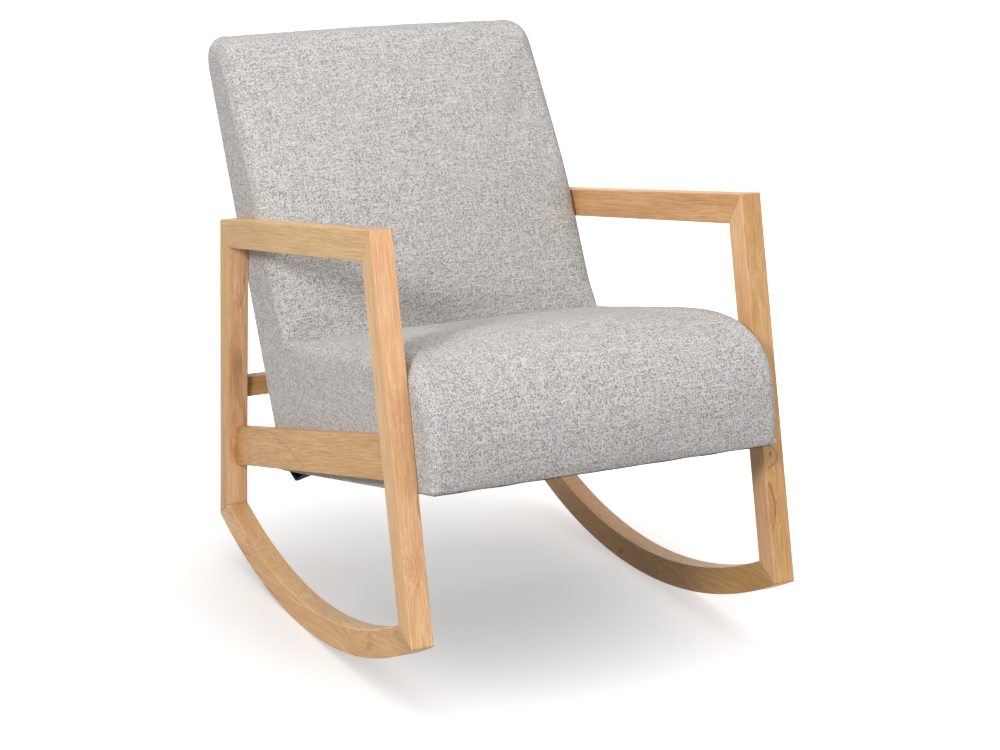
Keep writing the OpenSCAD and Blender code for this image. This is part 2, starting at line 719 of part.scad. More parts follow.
module back_foam() color(foam_colour) difference() {
    back_form(cover_t);
    behind(-frame_inset);
    seat_box_room();
    in_back() translate([-box_x, webbing_y - 2 * webbing_t, -far])
        cube([2 * box_x, far, far + frame_top]);
}

// The cover is open to the seat and, inside its turned edges, at the rear and underneath
module back_cover() color(cloth) difference() {
    back_form(0);
    behind(-cover_t);
    difference() {
        back_form(cover_t, over);
        behind(-frame_inset);
    }
    in_back() translate([-unit_x + cover_turn, -frame_inset - over, cover_turn])
        cube([2 * (unit_x - cover_turn), far, crest_z - 2 * cover_turn]);
    in_seat() translate([-unit_x + cover_turn, 0, -over])
        cube([2 * (unit_x - cover_turn), seat_l - cover_turn, cover_t + 2 * over]);
}

module back_panel() color(cloth) in_back()
    translate([-unit_x + panel_inset, -cover_t, panel_inset])
        cube([2 * (unit_x - panel_inset), cover_t, crest_z - panel_inset]);

module back_bolts() color(steel)
    for (side = [LEFT, RIGHT]) on_side(side) at_back_bolts() {
        bar_along_x(round_head_d, board_x - round_head_h, board_x);
        bar_along_x(bolt_d, post_x - washer_t - hex_h - over, board_x - round_head_h);
    }

module back_bolt_washers() color(steel)
    for (side = [LEFT, RIGHT]) on_side(side) at_back_bolts() washer(post_x);

module back_bolt_nuts() color(steel)
    for (side = [LEFT, RIGHT]) on_side(side) at_back_bolts() difference() {
        hex_along_x(post_x - washer_t - hex_h, post_x - washer_t);
        bar_along_x(bolt_d + 2 * thread_clear, post_x - washer_t - hex_h - over, post_x);
    }

arm_rail(LEFT);  // left_arm_rail
arm_rail(RIGHT);  // right_arm_rail
front_leg(LEFT);  // left_front_leg
front_leg(RIGHT);  // right_front_leg
rear_leg(LEFT);  // left_rear_leg
rear_leg(RIGHT);  // right_rear_leg
rocker(LEFT);  // left_rocker
rocker(RIGHT);  // right_rocker
seat_rail(LEFT);  // left_seat_rail
seat_rail(RIGHT);  // right_seat_rail
frame_dowels(LEFT);  // left_frame_dowels
frame_dowels(RIGHT);  // right_frame_dowels
rear_stretcher();
stretcher_dowels();
cross_board(front_board_l, front_board_t);  // seat_front_board
cross_board(rear_board_l, board_t);  // seat_rear_board
seat_side_board(LEFT);  // left_seat_board
seat_side_board(RIGHT);  // right_seat_board
seat_corner_blocks();
seat_springs();
spring_clips();
spring_felt();
seat_foam();
seat_cover();
dust_cover();
back_post(LEFT);  // left_back_post
back_post(RIGHT);  // right_back_post
back_rail(top_rail_z, top_rail_h);  // back_top_rail
back_rail(lumbar_rail_z, lower_rail_h);  // back_lumbar_rail
back_rail(bottom_rail_z, lower_rail_h);  // back_bottom_rail
back_frame_dowels();
back_webbing();
back_foam();
back_cover();
back_panel();
seat_bolts();
seat_bolt_washers();
threaded_inserts();
back_bolts();
back_bolt_washers();
back_bolt_nuts();
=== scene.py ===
# %% [markdown]
# # An upholstered rocking chair
#
# The chair is two wooden side frames on curved rockers, with one soft unit bolted between
# them: a thick seat and a reclined back, both in the same heathered cloth.
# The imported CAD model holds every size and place, so this script loads it first, dresses
# it piece by piece, and never moves it. Metres, +Z up, the chair faces -Y.
# Left and right are the sitter's, so left is +X.

from functools import partial

import bmesh
import bpy
import numpy as np
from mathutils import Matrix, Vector
from mathutils.bvhtree import BVHTree


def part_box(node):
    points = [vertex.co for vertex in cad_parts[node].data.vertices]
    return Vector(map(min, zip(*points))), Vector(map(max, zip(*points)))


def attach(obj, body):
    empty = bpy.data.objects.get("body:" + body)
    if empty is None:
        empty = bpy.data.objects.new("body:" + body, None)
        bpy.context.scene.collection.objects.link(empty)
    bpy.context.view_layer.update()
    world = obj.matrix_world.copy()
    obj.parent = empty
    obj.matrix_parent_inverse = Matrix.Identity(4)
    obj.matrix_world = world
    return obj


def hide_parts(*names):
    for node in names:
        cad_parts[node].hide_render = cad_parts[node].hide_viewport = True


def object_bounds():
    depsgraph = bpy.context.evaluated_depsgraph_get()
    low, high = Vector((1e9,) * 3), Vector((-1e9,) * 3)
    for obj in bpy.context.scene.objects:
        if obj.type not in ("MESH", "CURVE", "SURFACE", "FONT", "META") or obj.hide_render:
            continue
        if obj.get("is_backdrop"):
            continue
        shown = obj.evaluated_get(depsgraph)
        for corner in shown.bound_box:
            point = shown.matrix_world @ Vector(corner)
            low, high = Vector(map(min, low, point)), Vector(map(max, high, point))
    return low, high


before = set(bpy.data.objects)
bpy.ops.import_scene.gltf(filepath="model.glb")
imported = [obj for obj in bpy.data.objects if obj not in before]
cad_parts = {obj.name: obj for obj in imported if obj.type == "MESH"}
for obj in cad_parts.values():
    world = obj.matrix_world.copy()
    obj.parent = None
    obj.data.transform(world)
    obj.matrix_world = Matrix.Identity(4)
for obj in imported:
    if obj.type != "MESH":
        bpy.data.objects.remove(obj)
cad_low, cad_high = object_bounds()
scene = bpy.context.scene
MM = 0.001
SIDES = {"left": 1, "right": -1}
print("CAD box in mm:", [round(c / MM) for c in (*cad_low, *cad_high)])

# %% [markdown]
# ## Camera
#
# A long lens from a few metres away keeps the two rockers nearly parallel, as a
# catalogue view does. The chair is seen from its front right, a little from above.
# Azimuth and pitch give the looking direction, so the camera needs no aiming object.

# %% Camera
camera_place = (-1.6164, -3.4208, 1.4367)
azimuth, pitch = np.radians(25.905), np.radians(-15.598)
looking = Vector(
    (np.sin(azimuth) * np.cos(pitch), np.cos(azimuth) * np.cos(pitch), np.sin(pitch))
)
lens = bpy.data.cameras.new("camera")
lens.lens, lens.sensor_width = 84.96, 36.0
camera = bpy.data.objects.new("camera", lens)
scene.collection.objects.link(camera)
camera.location = camera_place
camera.rotation_euler = looking.to_track_quat("-Z", "Y").to_euler()
scene.camera = camera
print("camera stands", round(Vector(camera_place).length, 2), "m from the origin")

# %% [markdown]
# ## Node helpers
#
# Every finish here is worked out by shader nodes. Four small helpers keep the graphs
# short: one adds a node and wires its inputs, one does arithmetic, one mixes colours and
# one rescales a value. They return a socket, so a graph reads like a nested formula.


# %% Node helpers
def put(tree, kind, inputs, output=0, **settings):
    """Adds a shader node, wires or fills its inputs and returns one of its outputs."""
    made = tree.nodes.new("ShaderNode" + kind)
    for key, value in settings.items():
        setattr(made, key, value)
    for key, value in inputs.items():
        if isinstance(value, bpy.types.NodeSocket):
            tree.links.new(value, made.inputs[key])
        else:
            made.inputs[key].default_value = value
    return made.outputs[output]


def calc(tree, operation, *values, clamp=False):
    """One Math node: values are numbers or sockets."""
    return put(tree, "Math", dict(enumerate(values)), operation=operation, use_clamp=clamp)


def mixed(tree, share, first, second, blend_type="MIX"):
    """A colour mix: first where share is 0, second where it is 1."""
    slots = {0: share, 6: first, 7: second}
    return put(tree, "Mix", slots, output=2, data_type="RGBA", blend_type=blend_type)


def ramp(tree, value, low, high, start=0.0, end=1.0):
    """Rescales value from low..high to start..end with soft ends."""
    slots = {"Value": value, 1: low, 2: high, 3: start, 4: end}
    return put(tree, "MapRange", slots, interpolation_type="SMOOTHSTEP")


kinds = [kind for kind in dir(bpy.types) if kind.startswith("ShaderNode")]
print("put() can add any of", len(kinds), "kinds of shader node")

# %% [markdown]
# ## Colours and materials
#
# A colour is easiest to judge as it looks on a screen, but shaders calculate in linear
# light, so one helper converts it. The other two begin and end a material. Colour and
# roughness may be plain numbers or patterns, and a height field becomes a bump: fine
# relief such as pores and threads would need far too many faces as a mesh.


# %% Colours and materials
def srgb(red, green, blue):
    """The linear colour, with alpha, of a screen colour given as 0 to 255."""
    c = np.array([red, green, blue]) / 255
    linear = np.where(c <= 0.04045, c / 12.92, ((c + 0.055) / 1.055) ** 2.4)
    return (*linear.tolist(), 1.0)


def new_material(name):
    """An empty material with its node tree and its Principled shader."""
    material = bpy.data.materials.new(name)
    material.use_nodes = True
    tree = material.node_tree
    return material, tree, tree.nodes["Principled BSDF"]


def finish_with(tree, shader, colour, roughness, height, bump_distance, strength=1.0):
    """Wires colour, roughness and a height field, as bump, into the shader."""
    bump = put(
        tree, "Bump", {"Height": height, "Distance": bump_distance, "Strength": strength}
    )
    tree.links.new(bump, shader.inputs["Normal"])
    for slot, value in (("Base Color", colour), ("Roughness", roughness)):
        if isinstance(value, bpy.types.NodeSocket):
            tree.links.new(value, shader.inputs[slot])
        else:
            shader.inputs[slot].default_value = value


print("half of the screen's white is", round(srgb(128, 128, 128)[0], 3), "in linear light")

# %% [markdown]
# ## Lamps
#
# The chair stands in soft light: a soft box at the left of the camera makes the form, a
# weak one fills the right, and a wide one overhead lays a soft shadow under the seat.
# Small lamps would draw hard edges of shadow, which soft goods don't show indoors. All
# three are square area lamps, turned to the middle of the chair.


# %% Lamps
def soft_box(name, place, aim, size, power):
    """A square area lamp of that side length at place, turned to aim."""
    data = bpy.data.lights.new(name, "AREA")
    data.size, data.energy = size, power
    lamp = bpy.data.objects.new(name, data)
    scene.collection.objects.link(lamp)
    lamp.location = place
    lamp.rotation_euler = (Vector(aim) - Vector(place)).to_track_quat("-Z", "Y").to_euler()
    return lamp


aim = (0.0, 0.0, 0.45)
key = soft_box("key_light", (-3.06, -2.1, 2.6), aim, size=0.9, power=109)
fill = soft_box("fill_light", (1.5, -3.5, 1.1), aim, size=2.6, power=42)
soft_box("top_light", (-0.1, 0.2, 2.9), aim, size=3.4, power=44)

# %% [markdown]
# ## World
#
# A pale world lifts the shadows from all sides. At full strength it would flatten the
# chair, so it lights with a part of that. What is seen of it, directly, in a reflection or
# through glass, is plain white. Light Path tells which kind of ray asks for its colour.

# %% World
WORLD_LEVEL = 0.38
world = bpy.data.worlds.new("studio")
world.use_nodes = True
scene.world = world
tree = world.node_tree
rays = tree.nodes.new("ShaderNodeLightPath").outputs
seen = calc(tree, "MAXIMUM", rays["Is Camera Ray"], rays["Is Glossy Ray"])
seen = calc(tree, "MAXIMUM", seen, rays["Is Transmission Ray"])
level = calc(tree, "MULTIPLY_ADD", seen, 1 - WORLD_LEVEL, WORLD_LEVEL)
tree.links.new(level, tree.nodes["Background"].inputs["Strength"])
tree.nodes["Background"].inputs["Color"].default_value = (1, 1, 1, 1)
print("world lights with", WORLD_LEVEL, "and is seen as 1")

# %% [markdown]
# ## Floor
#
# The floor is matt and pale and keeps the chair's shadow. Key and fill leave it out
# through light linking, so the shadow on it is the soft one of the wide lamp and the world
# alone. What is seen of it is lifted towards white in its own material, as with the world,
# so no lamp has to be stronger for it. The lift grows with the distance from the chair
# until the floor ends in plain white. On the way it is painted light over the outer part
# of the chair's shadow, which makes that shadow narrower than the lamps alone would.

# %% Floor
FLOOR_SIZE = 24.0
FLOOR_LIFT = (0.42, 0.95)  # under the chair, and beyond it
LIFT_MIDDLE = (-0.05, 0.10, 0.0)
LIFT_FROM, LIFT_TO = 0.18, 0.95  # distances from that point, in metres
floor_mesh = bpy.data.meshes.new("floor")
half = FLOOR_SIZE / 2
floor_mesh.from_pydata(
    [(-half, -half, 0), (half, -half, 0), (half, half, 0), (-half, half, 0)],
    [],
    [(0, 1, 2, 3)],
)
floor = bpy.data.objects.new("floor", floor_mesh)
scene.collection.objects.link(floor)
floor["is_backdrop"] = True
material, tree, shader = new_material("studio_floor")
shader.inputs["Base Color"].default_value = srgb(225, 224, 222)
shader.inputs["Roughness"].default_value = 0.9
shader.inputs["Specular IOR Level"].default_value = 0.1
away = put(
    tree, "VectorMath", {0: put(tree, "TexCoord", {}, output="Object"), 1: LIFT_MIDDLE},
    output="Value", operation="DISTANCE",
)
# The lift grows outwards: painted light over the outer part of the chair's shadow
away = ramp(tree, away, LIFT_FROM, LIFT_TO, *FLOOR_LIFT)
rays = tree.nodes.new("ShaderNodeLightPath").outputs
lift = calc(tree, "MAXIMUM", rays["Is Camera Ray"], rays["Is Glossy Ray"])
lift = calc(tree, "MAXIMUM", lift, rays["Is Transmission Ray"])
lift = calc(tree, "MULTIPLY", lift, away)
glow = put(tree, "Emission", {"Strength": lift})
total = put(tree, "AddShader", {0: shader.outputs[0], 1: glow})
tree.links.new(total, tree.nodes["Material Output"].inputs["Surface"])
floor_mesh.materials.append(material)

# Key and fill leave the floor out, so only the wide top light and the world shade it
not_floor = bpy.data.collections.new("not_floor")
not_floor.objects.link(floor)
not_floor.collection_objects[0].light_linking.link_state = "EXCLUDE"
for lamp in (key, fill):
    lamp.light_linking.receiver_collection = not_floor
scene.view_settings.view_transform = "Standard"
print("floor lift:", FLOOR_LIFT, "from", LIFT_FROM, "to", LIFT_TO, "m")

# %% [markdown]
# ## Lines in the side plane
#
# The side frames and the upholstery are drawn in the side plane, as points (y, z).
# Angles run from +Y towards +Z. With the crossing of two lines, every corner follows
# from a few leans and widths, so neighbours meet exactly.


# %% Lines in the side plane
def heading(degrees):
    """Unit vector (y, z) of a direction."""
    a = np.radians(degrees)
    return np.array([np.cos(a), np.sin(a)])


def leftward(degrees):
    """Unit vector square to a direction, on its left."""
    return heading(degrees + 90)


def crossing(p, a, q, b):
    """Where the line through p along a meets the line through q along b, in degrees."""
    u, v, gap = heading(a), heading(b), q - p
    return p + u * (gap[0] * v[1] - gap[1] * v[0]) / (u[0] * v[1] - u[1] * v[0])


def fillet(a, b, c, radius, steps):
    """The corner a-b-c rounded: points at even angles on the circle that touches both
    sides, whose centre lies radius / sin(half the corner's angle) from b."""
    u, v = (a - b) / np.linalg.norm(a - b), (c - b) / np.linalg.norm(c - b)
    half_angle = np.arccos(np.clip(u @ v, -1, 1)) / 2
    centre = b + (u + v) / np.linalg.norm(u + v) * radius / np.sin(half_angle)
    first = b + u * radius / np.tan(half_angle) - centre
    last = b + v * radius / np.tan(half_angle) - centre
    start = np.arctan2(first[1], first[0])
    sweep = np.arctan2(last[1], last[0]) - start
    sweep = (sweep + np.pi) % (2 * np.pi) - np.pi
    angle = start + sweep * np.linspace(0, 1, steps + 1)
    return centre + radius * np.stack([np.cos(angle), np.sin(angle)], axis=1)


print("two crossing lines meet at", crossing(np.zeros(2), 0, np.array([1.0, -1.0]), 90))

# %% [markdown]
# ## Meshes from rings
#
# A piece is a stack of closed rings, each with as many points as the next: one parameter
# runs round the ring and the other along the stack. Quads join the rings, and the last
# step turns them all outwards if the solid's signed volume says that they face inwards.


# %% Meshes from rings
def strip_faces(rings, points):
    """Quads between neighbouring rings: ring i point j, its neighbours j+1 and i+1."""
    i, j = np.meshgrid(np.arange(rings - 1), np.arange(points), indexing="ij")
    k = (j + 1) % points
    quads = np.stack(
        [i * points + j, i * points + k, (i + 1) * points + k, (i + 1) * points + j], -1
    )
    return quads.reshape(-1, 4)


def signed_volume(verts, faces):
    """Six times the volume is the sum over triangles of a . (b x c)."""
    a, b, c, d = (verts[faces[:, n]] for n in range(4))
    six = np.sum(a * np.cross(b, c)) + np.sum(a * np.cross(c, d))
    return six / 6


def capped_stack(rings):
    """Vertices and faces of a stack of rings, closed by a fan at each end round a point
    in its middle, with every face turned outwards."""
    count, points = rings.shape[:2]
    verts = rings.reshape(-1, 3)
    tube = strip_faces(count, points)
    inside_out = signed_volume(verts, tube) < 0
    verts = np.concatenate([verts, [verts[:points].mean(0), verts[-points:].mean(0)]])
    j = np.arange(points)
    k, base = (j + 1) % points, (count - 1) * points
    start_cap = np.stack([k, j, np.full(points, len(verts) - 2)], 1)
    end_cap = np.stack([base + j, base + k, np.full(points, len(verts) - 1)], 1)
    faces = [*tube.tolist(), *start_cap.tolist(), *end_cap.tolist()]
    return verts, [f[::-1] for f in faces] if inside_out else faces


def new_piece(name, verts, faces):
    """A mesh object at the origin, shaded smooth, with its place in its mesh."""
    mesh = bpy.data.meshes.new(name)
    mesh.from_pydata(verts.tolist(), [], [tuple(f) for f in faces])
    mesh.shade_smooth()
    piece = bpy.data.objects.new(name, mesh)
    scene.collection.objects.link(piece)
    return piece


def store(piece, name, values, kind="FLOAT_VECTOR"):
    """Keeps one value per vertex with the mesh, for its material to read."""
    attribute = piece.data.attributes.new(name, kind, "POINT")
    key = "vector" if kind == "FLOAT_VECTOR" else "value"
    attribute.data.foreach_set(key, np.asarray(values, np.float32).ravel())


print("a stack of 3 rings of 4 points has", len(strip_faces(3, 4)), "faces")

# %% [markdown]
# ## Corners of a side frame
#
# A side frame is four timbers mitred into a ring: front leg, arm, rear leg and rocker.
# Its outer corners are read from the CAD boxes. The inner ones lie where the timbers'
# inner edges cross, and the rocker's edges are circles about one centre.

# %% Corners of a side frame
FRONT_LEG_W, REAR_LEG_W, ARM_W, ROCKER_W = 43 * MM, 42 * MM, 47 * MM, 44.5 * MM
ROCKER_R = 960 * MM
front_leg, rear_leg, arm = (
    [np.array(c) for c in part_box(n)]
    for n in ("left_front_leg", "left_rear_leg", "left_arm_rail")
)
rail_box = [np.array(c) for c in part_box("left_seat_rail")]
INNER_X, OUTER_X = front_leg[0][0], front_leg[1][0]

toe_out = np.array([front_leg[0][1], front_leg[0][2]])
heel_out = np.array([rear_leg[1][1], rear_leg[0][2]])
arm_front_out = np.array([arm[0][1], arm[1][2]])
arm_rear_out = np.array([arm[1][1], rear_leg[1][2]])


def degrees_of(v):
    """Angle of a direction (y, z), in degrees."""
    return np.degrees(np.arctan2(v[1], v[0]))


front_a = degrees_of(arm_front_out - toe_out)
rear_a = degrees_of(arm_rear_out - heel_out)
arm_a = degrees_of(arm_rear_out - arm_front_out)
front_inner = toe_out - FRONT_LEG_W * leftward(front_a)
rear_inner = heel_out + REAR_LEG_W * leftward(rear_a)
arm_inner = arm_front_out - ARM_W * leftward(arm_a)
arm_front_in = crossing(arm_inner, arm_a, front_inner, front_a)
arm_rear_in = crossing(arm_inner, arm_a, rear_inner, rear_a)

# The rocker's centre is one radius from both ends of its running edge
chord = heel_out - toe_out
rise = np.sqrt(ROCKER_R**2 - (chord @ chord) / 4)
rocker_centre = (toe_out + heel_out) / 2 + rise * leftward(degrees_of(chord))


def where_arc_meets(p, a, radius):
    """Lower crossing of the line through p along a with a circle about the rocker's
    centre: p + t u with t = -b - sqrt(b b - c), from the circle's equation."""
    u, gap = heading(a), p - rocker_centre
    b = gap @ u
    return p + u * (-b - np.sqrt(b * b - gap @ gap + radius**2))


toe_in = where_arc_meets(front_inner, front_a, ROCKER_R - ROCKER_W)
heel_in = where_arc_meets(rear_inner, rear_a, ROCKER_R - ROCKER_W)
print("lean of the legs:", round(90 - front_a, 2), round(rear_a - 90, 2), "degrees")
print("rocker centre (y, z) in mm:", (rocker_centre / MM).round(1))

# %% [markdown]
# ## Section of a timber
#
# A timber is a length of planed hardwood with sanded edges, cut to a mitre at each end.
# A box with a bevel would give the shape, but its few vertices could not hold a grain that
# changes along the wood. So the piece is a grid: a rounded rectangle carried from one end
# cut to the other. A section point has a place across the chair (x) and a depth in from
# the outer edge.

# %% Section of a timber
EASE = 1.6 * MM  # rounding of the sanded edges
STEP = 2.5 * MM  # wanted distance between vertices
END_GAP = 0.04 * MM  # the joint line between two timbers
END_EASE = 0.35 * MM  # tiny rounding where the end cut meets the faces


def timber_section(width, depth):
    """Rounded rectangle as (across, depth) points: four straight sides in even steps
    joined by quarter circles of radius EASE."""
    corners = [(0, 0), (width, 0), (width, depth), (0, depth)]
    loop = []
    for n, corner in enumerate(corners):
        before, after = corners[n - 1], corners[(n + 1) % 4]
        turn = fillet(*(np.array(c, float) for c in (before, corner, after)), EASE, 4)
        ahead = np.array(after, float) - np.array(corner, float)
        length = np.linalg.norm(ahead)
        count = max(2, round((length - 2 * EASE) / STEP))
        share = np.linspace(0, 1, count + 1)[1:-1, None]
        straight = turn[-1] + ahead / length * (length - 2 * EASE) * share
        loop += [turn, straight]
    return np.concatenate(loop)


def inset(section, width, depth, by):
    """The section drawn in by `by` all round."""
    middle = np.array([width, depth]) / 2
    return middle + (section - middle) * (1 - by / middle)


section = timber_section(OUTER_X - INNER_X, ARM_W)
print("points round the arm's section:", len(section))

# %% [markdown]
# ## Line of a timber
#
# The two end cuts may slant, so a point at depth d and share v lies on the straight line
# between the cuts at that depth. The rocker bends that line into an arc about its centre.
# A curve object with a bevel would cut its ends square, and the mitres would not close.


# %% Line of a timber
def straight_line(start_out, start_in, end_out, end_in, depth):
    """Place of (d, v): the end cuts run from outer to inner corner with d / depth, and
    the point divides the line between them at share v."""

    def place(d, v):
        k = (d / depth)[..., None]
        first = start_out + k * (start_in - start_out)
        last = end_out + k * (end_in - end_out)
        return first + v[..., None] * (last - first)

    length = np.linalg.norm((end_out + end_in - start_out - start_in) / 2)
    return place, length


def rocker_line():
    """Place of (d, v) on the rocker: radius R - d about its centre, at the share v of
    the angle between the two mitres at that depth."""

    def place(d, v):
        k = (d / ROCKER_W)[..., None]
        ends = []
        for out, inner in ((toe_out, toe_in), (heel_out, heel_in)):
            spoke = out + k * (inner - out) - rocker_centre
            ends.append(np.arctan2(spoke[..., 1], spoke[..., 0]))
        angle = ends[0] + v * (ends[1] - ends[0])
        spoke = np.stack([np.cos(angle), np.sin(angle)], -1)
        return rocker_centre + (ROCKER_R - d)[..., None] * spoke

    sweep = np.linalg.norm(heel_out - toe_out) / ROCKER_R
    return place, 2 * np.arcsin(sweep / 2) * (ROCKER_R - ROCKER_W / 2)


print("the rocker is", round(rocker_line()[1] / MM), "mm long along its middle")

# %% [markdown]
# ## Where each vertex lay in its plank
#
# Real timber shows its grain in three dimensions: straight lines on one face, arched
# figure on the next. A flat pattern per face would break at the edges, so each vertex
# stores where it lay in the straight plank: along the grain, across it, and through the
# growth rings. A knot lifts the rings in a small bump, which shows as a swirl on the sawn
# face. Single dark lines and knots are veins. Each vertex also stores how near it lies to
# one, but only on the faces that show such figure: the broad sides or the edges of a
# timber, depending on how its plank was sawn.


# %% Where each vertex lay in its plank
def plank_place(points, origin, grain_a, rings_across, pith, knots):
    """Where each vertex lay in the straight plank: (along, across, through the rings).
    Rings bend round the pith, which adds across^2 / (2 pith); a knot adds a bump."""
    flat = points[:, 1:] - origin
    along, deep = flat @ heading(grain_a), flat @ leftward(grain_a)
    wide = np.abs(points[:, 0]) - (INNER_X + OUTER_X) / 2
    across, through = (deep, wide) if rings_across else (wide, deep)
    through = through + across**2 / (2 * pith)
    for at, side, height, size in knots:
        reach = ((along - at) / (1.7 * size)) ** 2 + ((across - side) / size) ** 2
        through = through + height * np.exp(-reach)
    return np.stack([along, across, through], 1)


def on_broad_side(section, width, depth):
    """1 on the frame's broad sides, 0 on its outer and inner edges, blended over the
    eased corners, for each (across, depth) of the section."""
    to_side = np.minimum(section[..., 0], width - section[..., 0])
    to_edge = np.minimum(section[..., 1], depth - section[..., 1])
    return np.clip(0.5 + (to_edge - to_side) / (2 * EASE), 0, 1)


def vein(plank, trace, width):
    """Darkness of a thin line that runs through the points of trace, each given as
    (along, across) in the plank: exp(-(distance / width)^2)."""
    nearest = np.full(len(plank), np.inf)
    for start, end in zip(trace[:-1], trace[1:]):
        ahead = end - start
        share = np.clip((plank[:, :2] - start) @ ahead / (ahead @ ahead), 0, 1)
        off = plank[:, :2] - start - share[:, None] * ahead
        nearest = np.minimum(nearest, np.linalg.norm(off, axis=1))
    return np.exp(-(nearest / width) ** 2)


straight = np.array([[0.0, 0.0], [1.0, 0.0]])
beside = vein(np.array([[0.5, 2 * MM, 0.0]]), straight, 2 * MM)
print("one width away a vein keeps", beside.round(2), "of its darkness")

# %% [markdown]
# ## One timber
#
# Section, line and plank are worked out, so one function makes all ten timbers of the
# side frames. The end rings are drawn in a little, so the joint between two timbers shows
# as the fine line that glued wood has. Three values go with every vertex: its place in the
# plank, the shade of its face, since edges and broad sides of one plank differ, and how
# dark its veins are.

# %% One timber
random = np.random.default_rng(41)  # gives each plank its own part of the grain
timbers = []


def timber(name, line, x_range, depth, grain, tones, veins=()):
    """One timber of a side frame: rings of its section from end cut to end cut, the end
    rings drawn in a little, both ends capped, and the plank's own coordinates stored.
    veins are dark lines and knots: darkness, width and points in the plank."""
    place, length = line
    width = x_range[1] - x_range[0]
    section = timber_section(width, depth)
    count = round(length / STEP)
    inner = np.linspace(END_GAP + END_EASE, length - END_GAP - END_EASE, count)
    v = np.concatenate([[END_GAP], inner, [length - END_GAP]]) / length
    draw_in = np.where((v == v[0]) | (v == v[-1]), END_EASE, 0)
    rings = np.array([inset(section, width, depth, e) for e in draw_in])
    flat = place(rings[..., 1], np.broadcast_to(v[:, None], rings.shape[:2]))
    x = (x_range[0] + rings[..., 0]) * SIDES[name.split("_")[0]]
    verts, faces = capped_stack(np.concatenate([x[..., None], flat], -1))
    piece = new_piece(name + "_wood", verts, faces)
    plank = plank_place(verts, *grain)
    store(piece, "grain", plank + random.uniform(-6, 6, 3))
    broad = on_broad_side(rings, width, depth)
    tone = (tones[0] + broad * (tones[1] - tones[0]) + v[:, None] * tones[2]).ravel()
    store(piece, "tone", np.concatenate([tone, tone[:2]]), "FLOAT")
    dark = np.zeros(len(verts))
    for darkness, thick, *trace in veins:
        points = MM * np.array(trace, float)
        dark = np.maximum(dark, darkness * vein(plank, points, thick * MM))
    figured = (broad if grain[2] else 1 - broad).ravel()  # the faces that show figure
    dark[:len(figured)] *= figured
    store(piece, "heart", dark, "FLOAT")
    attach(piece, "root")
    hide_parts(name)
    timbers.append(piece)


print("vertices lie", STEP / MM, "mm apart along a timber")

# %% [markdown]
# ## Lines and planks of the two side frames
#
# Both frames use the same four lines, cut with the same corners, so they mirror each other
# as they do on the bench. How the planks are sawn differs by part: legs and arms show
# their rings on the edges, while the rockers come from a wide straight plank, whose grain
# keeps running almost level and breaks out along the curve.

# %% Lines and planks of the two side frames
lines = {
    "arm_rail": straight_line(arm_front_out, arm_front_in, arm_rear_out, arm_rear_in, ARM_W),
    "front_leg": straight_line(toe_out, toe_in, arm_front_out, arm_front_in, FRONT_LEG_W),
    "rear_leg": straight_line(heel_out, heel_in, arm_rear_out, arm_rear_in, REAR_LEG_W),
    "rocker": rocker_line(),
}
depths = dict(arm_rail=ARM_W, front_leg=FRONT_LEG_W, rear_leg=REAR_LEG_W, rocker=ROCKER_W)
# Origin, grain direction, rings through the chair's width or not, distance of the pith
grains = {
    "arm_rail": (arm_front_out, arm_a + 0.6, False, 90 * MM),
    "front_leg": (toe_out, front_a - 0.9, False, 60 * MM),
    "rear_leg": (heel_out, rear_a + 0.3, False, 90 * MM),
    "rocker": (toe_out, -3.5, True, 400 * MM),
}
print("lengths in mm:", {part: round(line[1] / MM) for part, line in lines.items()})

# %% [markdown]
# ## Swirls, veins and shade of each plank
#
# Every timber comes from another plank, so each has its own swirls, veins and shade.
# Noise alone would spread such figure evenly, and real wood doesn't: one leg has two knots
# and the next none. So the few that stand out are listed here, plank by plank, and noise
# only fills in the wood between them.

# %% Swirls, veins and shade of each plank
# Swirls: along, across, height of the bump in the rings, size; millimetres
swirls = {
    "right_front_leg": [(120, 14, 9, 13), (205, -15, 6, 30), (352, 3, 3, 22)],
    "left_front_leg": [(203, -5, 8, 8), (150, -12, 5, 11), (108, -5, -5, 10), (540, 2, 4, 26)],
    "right_rocker": [(120, 8, 5, 24), (215, -34, -5, 26), (660, -10, 3, 24)],
    "left_rocker": [(505, -74, 10, 18), (330, -50, 6, 30)],
    "right_arm_rail": [(480, 4, 2, 16), (210, 8, -2, 24)],
    "left_arm_rail": [(180, -6, 3, 20), (400, 6, -3, 24)],
    "right_rear_leg": [(360, -4, 2, 26), (190, 6, -2, 22)],
}


def faint_arc(along, across, reach):
    """A faint round line about a point beside the face, as in a swirl: darkness, width
    and points at 1.3 reach sin t along and reach cos t across, t from -50 to 50."""
    t = np.radians(np.linspace(-50, 50, 7))
    return (0.3, 1.8, *zip(along + 1.3 * reach * np.sin(t), across - reach * np.cos(t)))


# Knots and mineral lines: darkness, width, then points (along, across); millimetres
veins = {
    "left_front_leg": [
        (1.0, 3.0, (208, -6), (203, -6)),
        (0.7, 2.0, (220, -9), (214, 0), (207, 5), (196, 6), (188, -3), (184, -12)),
        (0.9, 2.1, (161, -13), (149, -9), (136, -7), (126, -5), (117, -6), (108, -7)),
        (0.6, 2.0, (108, -7), (94, -11), (82, -14)),
        (0.35, 6.0, (150, -16), (120, -14), (100, -16)),
        (0.3, 7.0, (214, -12), (188, -14)),
    ],
    "right_front_leg": [faint_arc(120, 20, reach) for reach in (7, 12, 17, 23, 30)],
    "left_rocker": [(0.8, 5.0, (509, -75), (501, -73))],
    "right_rocker": [
        (0.5, 1.5, (738, -26), (705, -24), (629, -16)),
        (0.35, 2.4, (494, -51), (435, -50)),
        (0.3, 2.0, (255, -59), (225, -38), (185, -24)),
        (0.3, 2.0, (192, -45), (165, -22), (125, -8), (72, -6)),
    ],
}
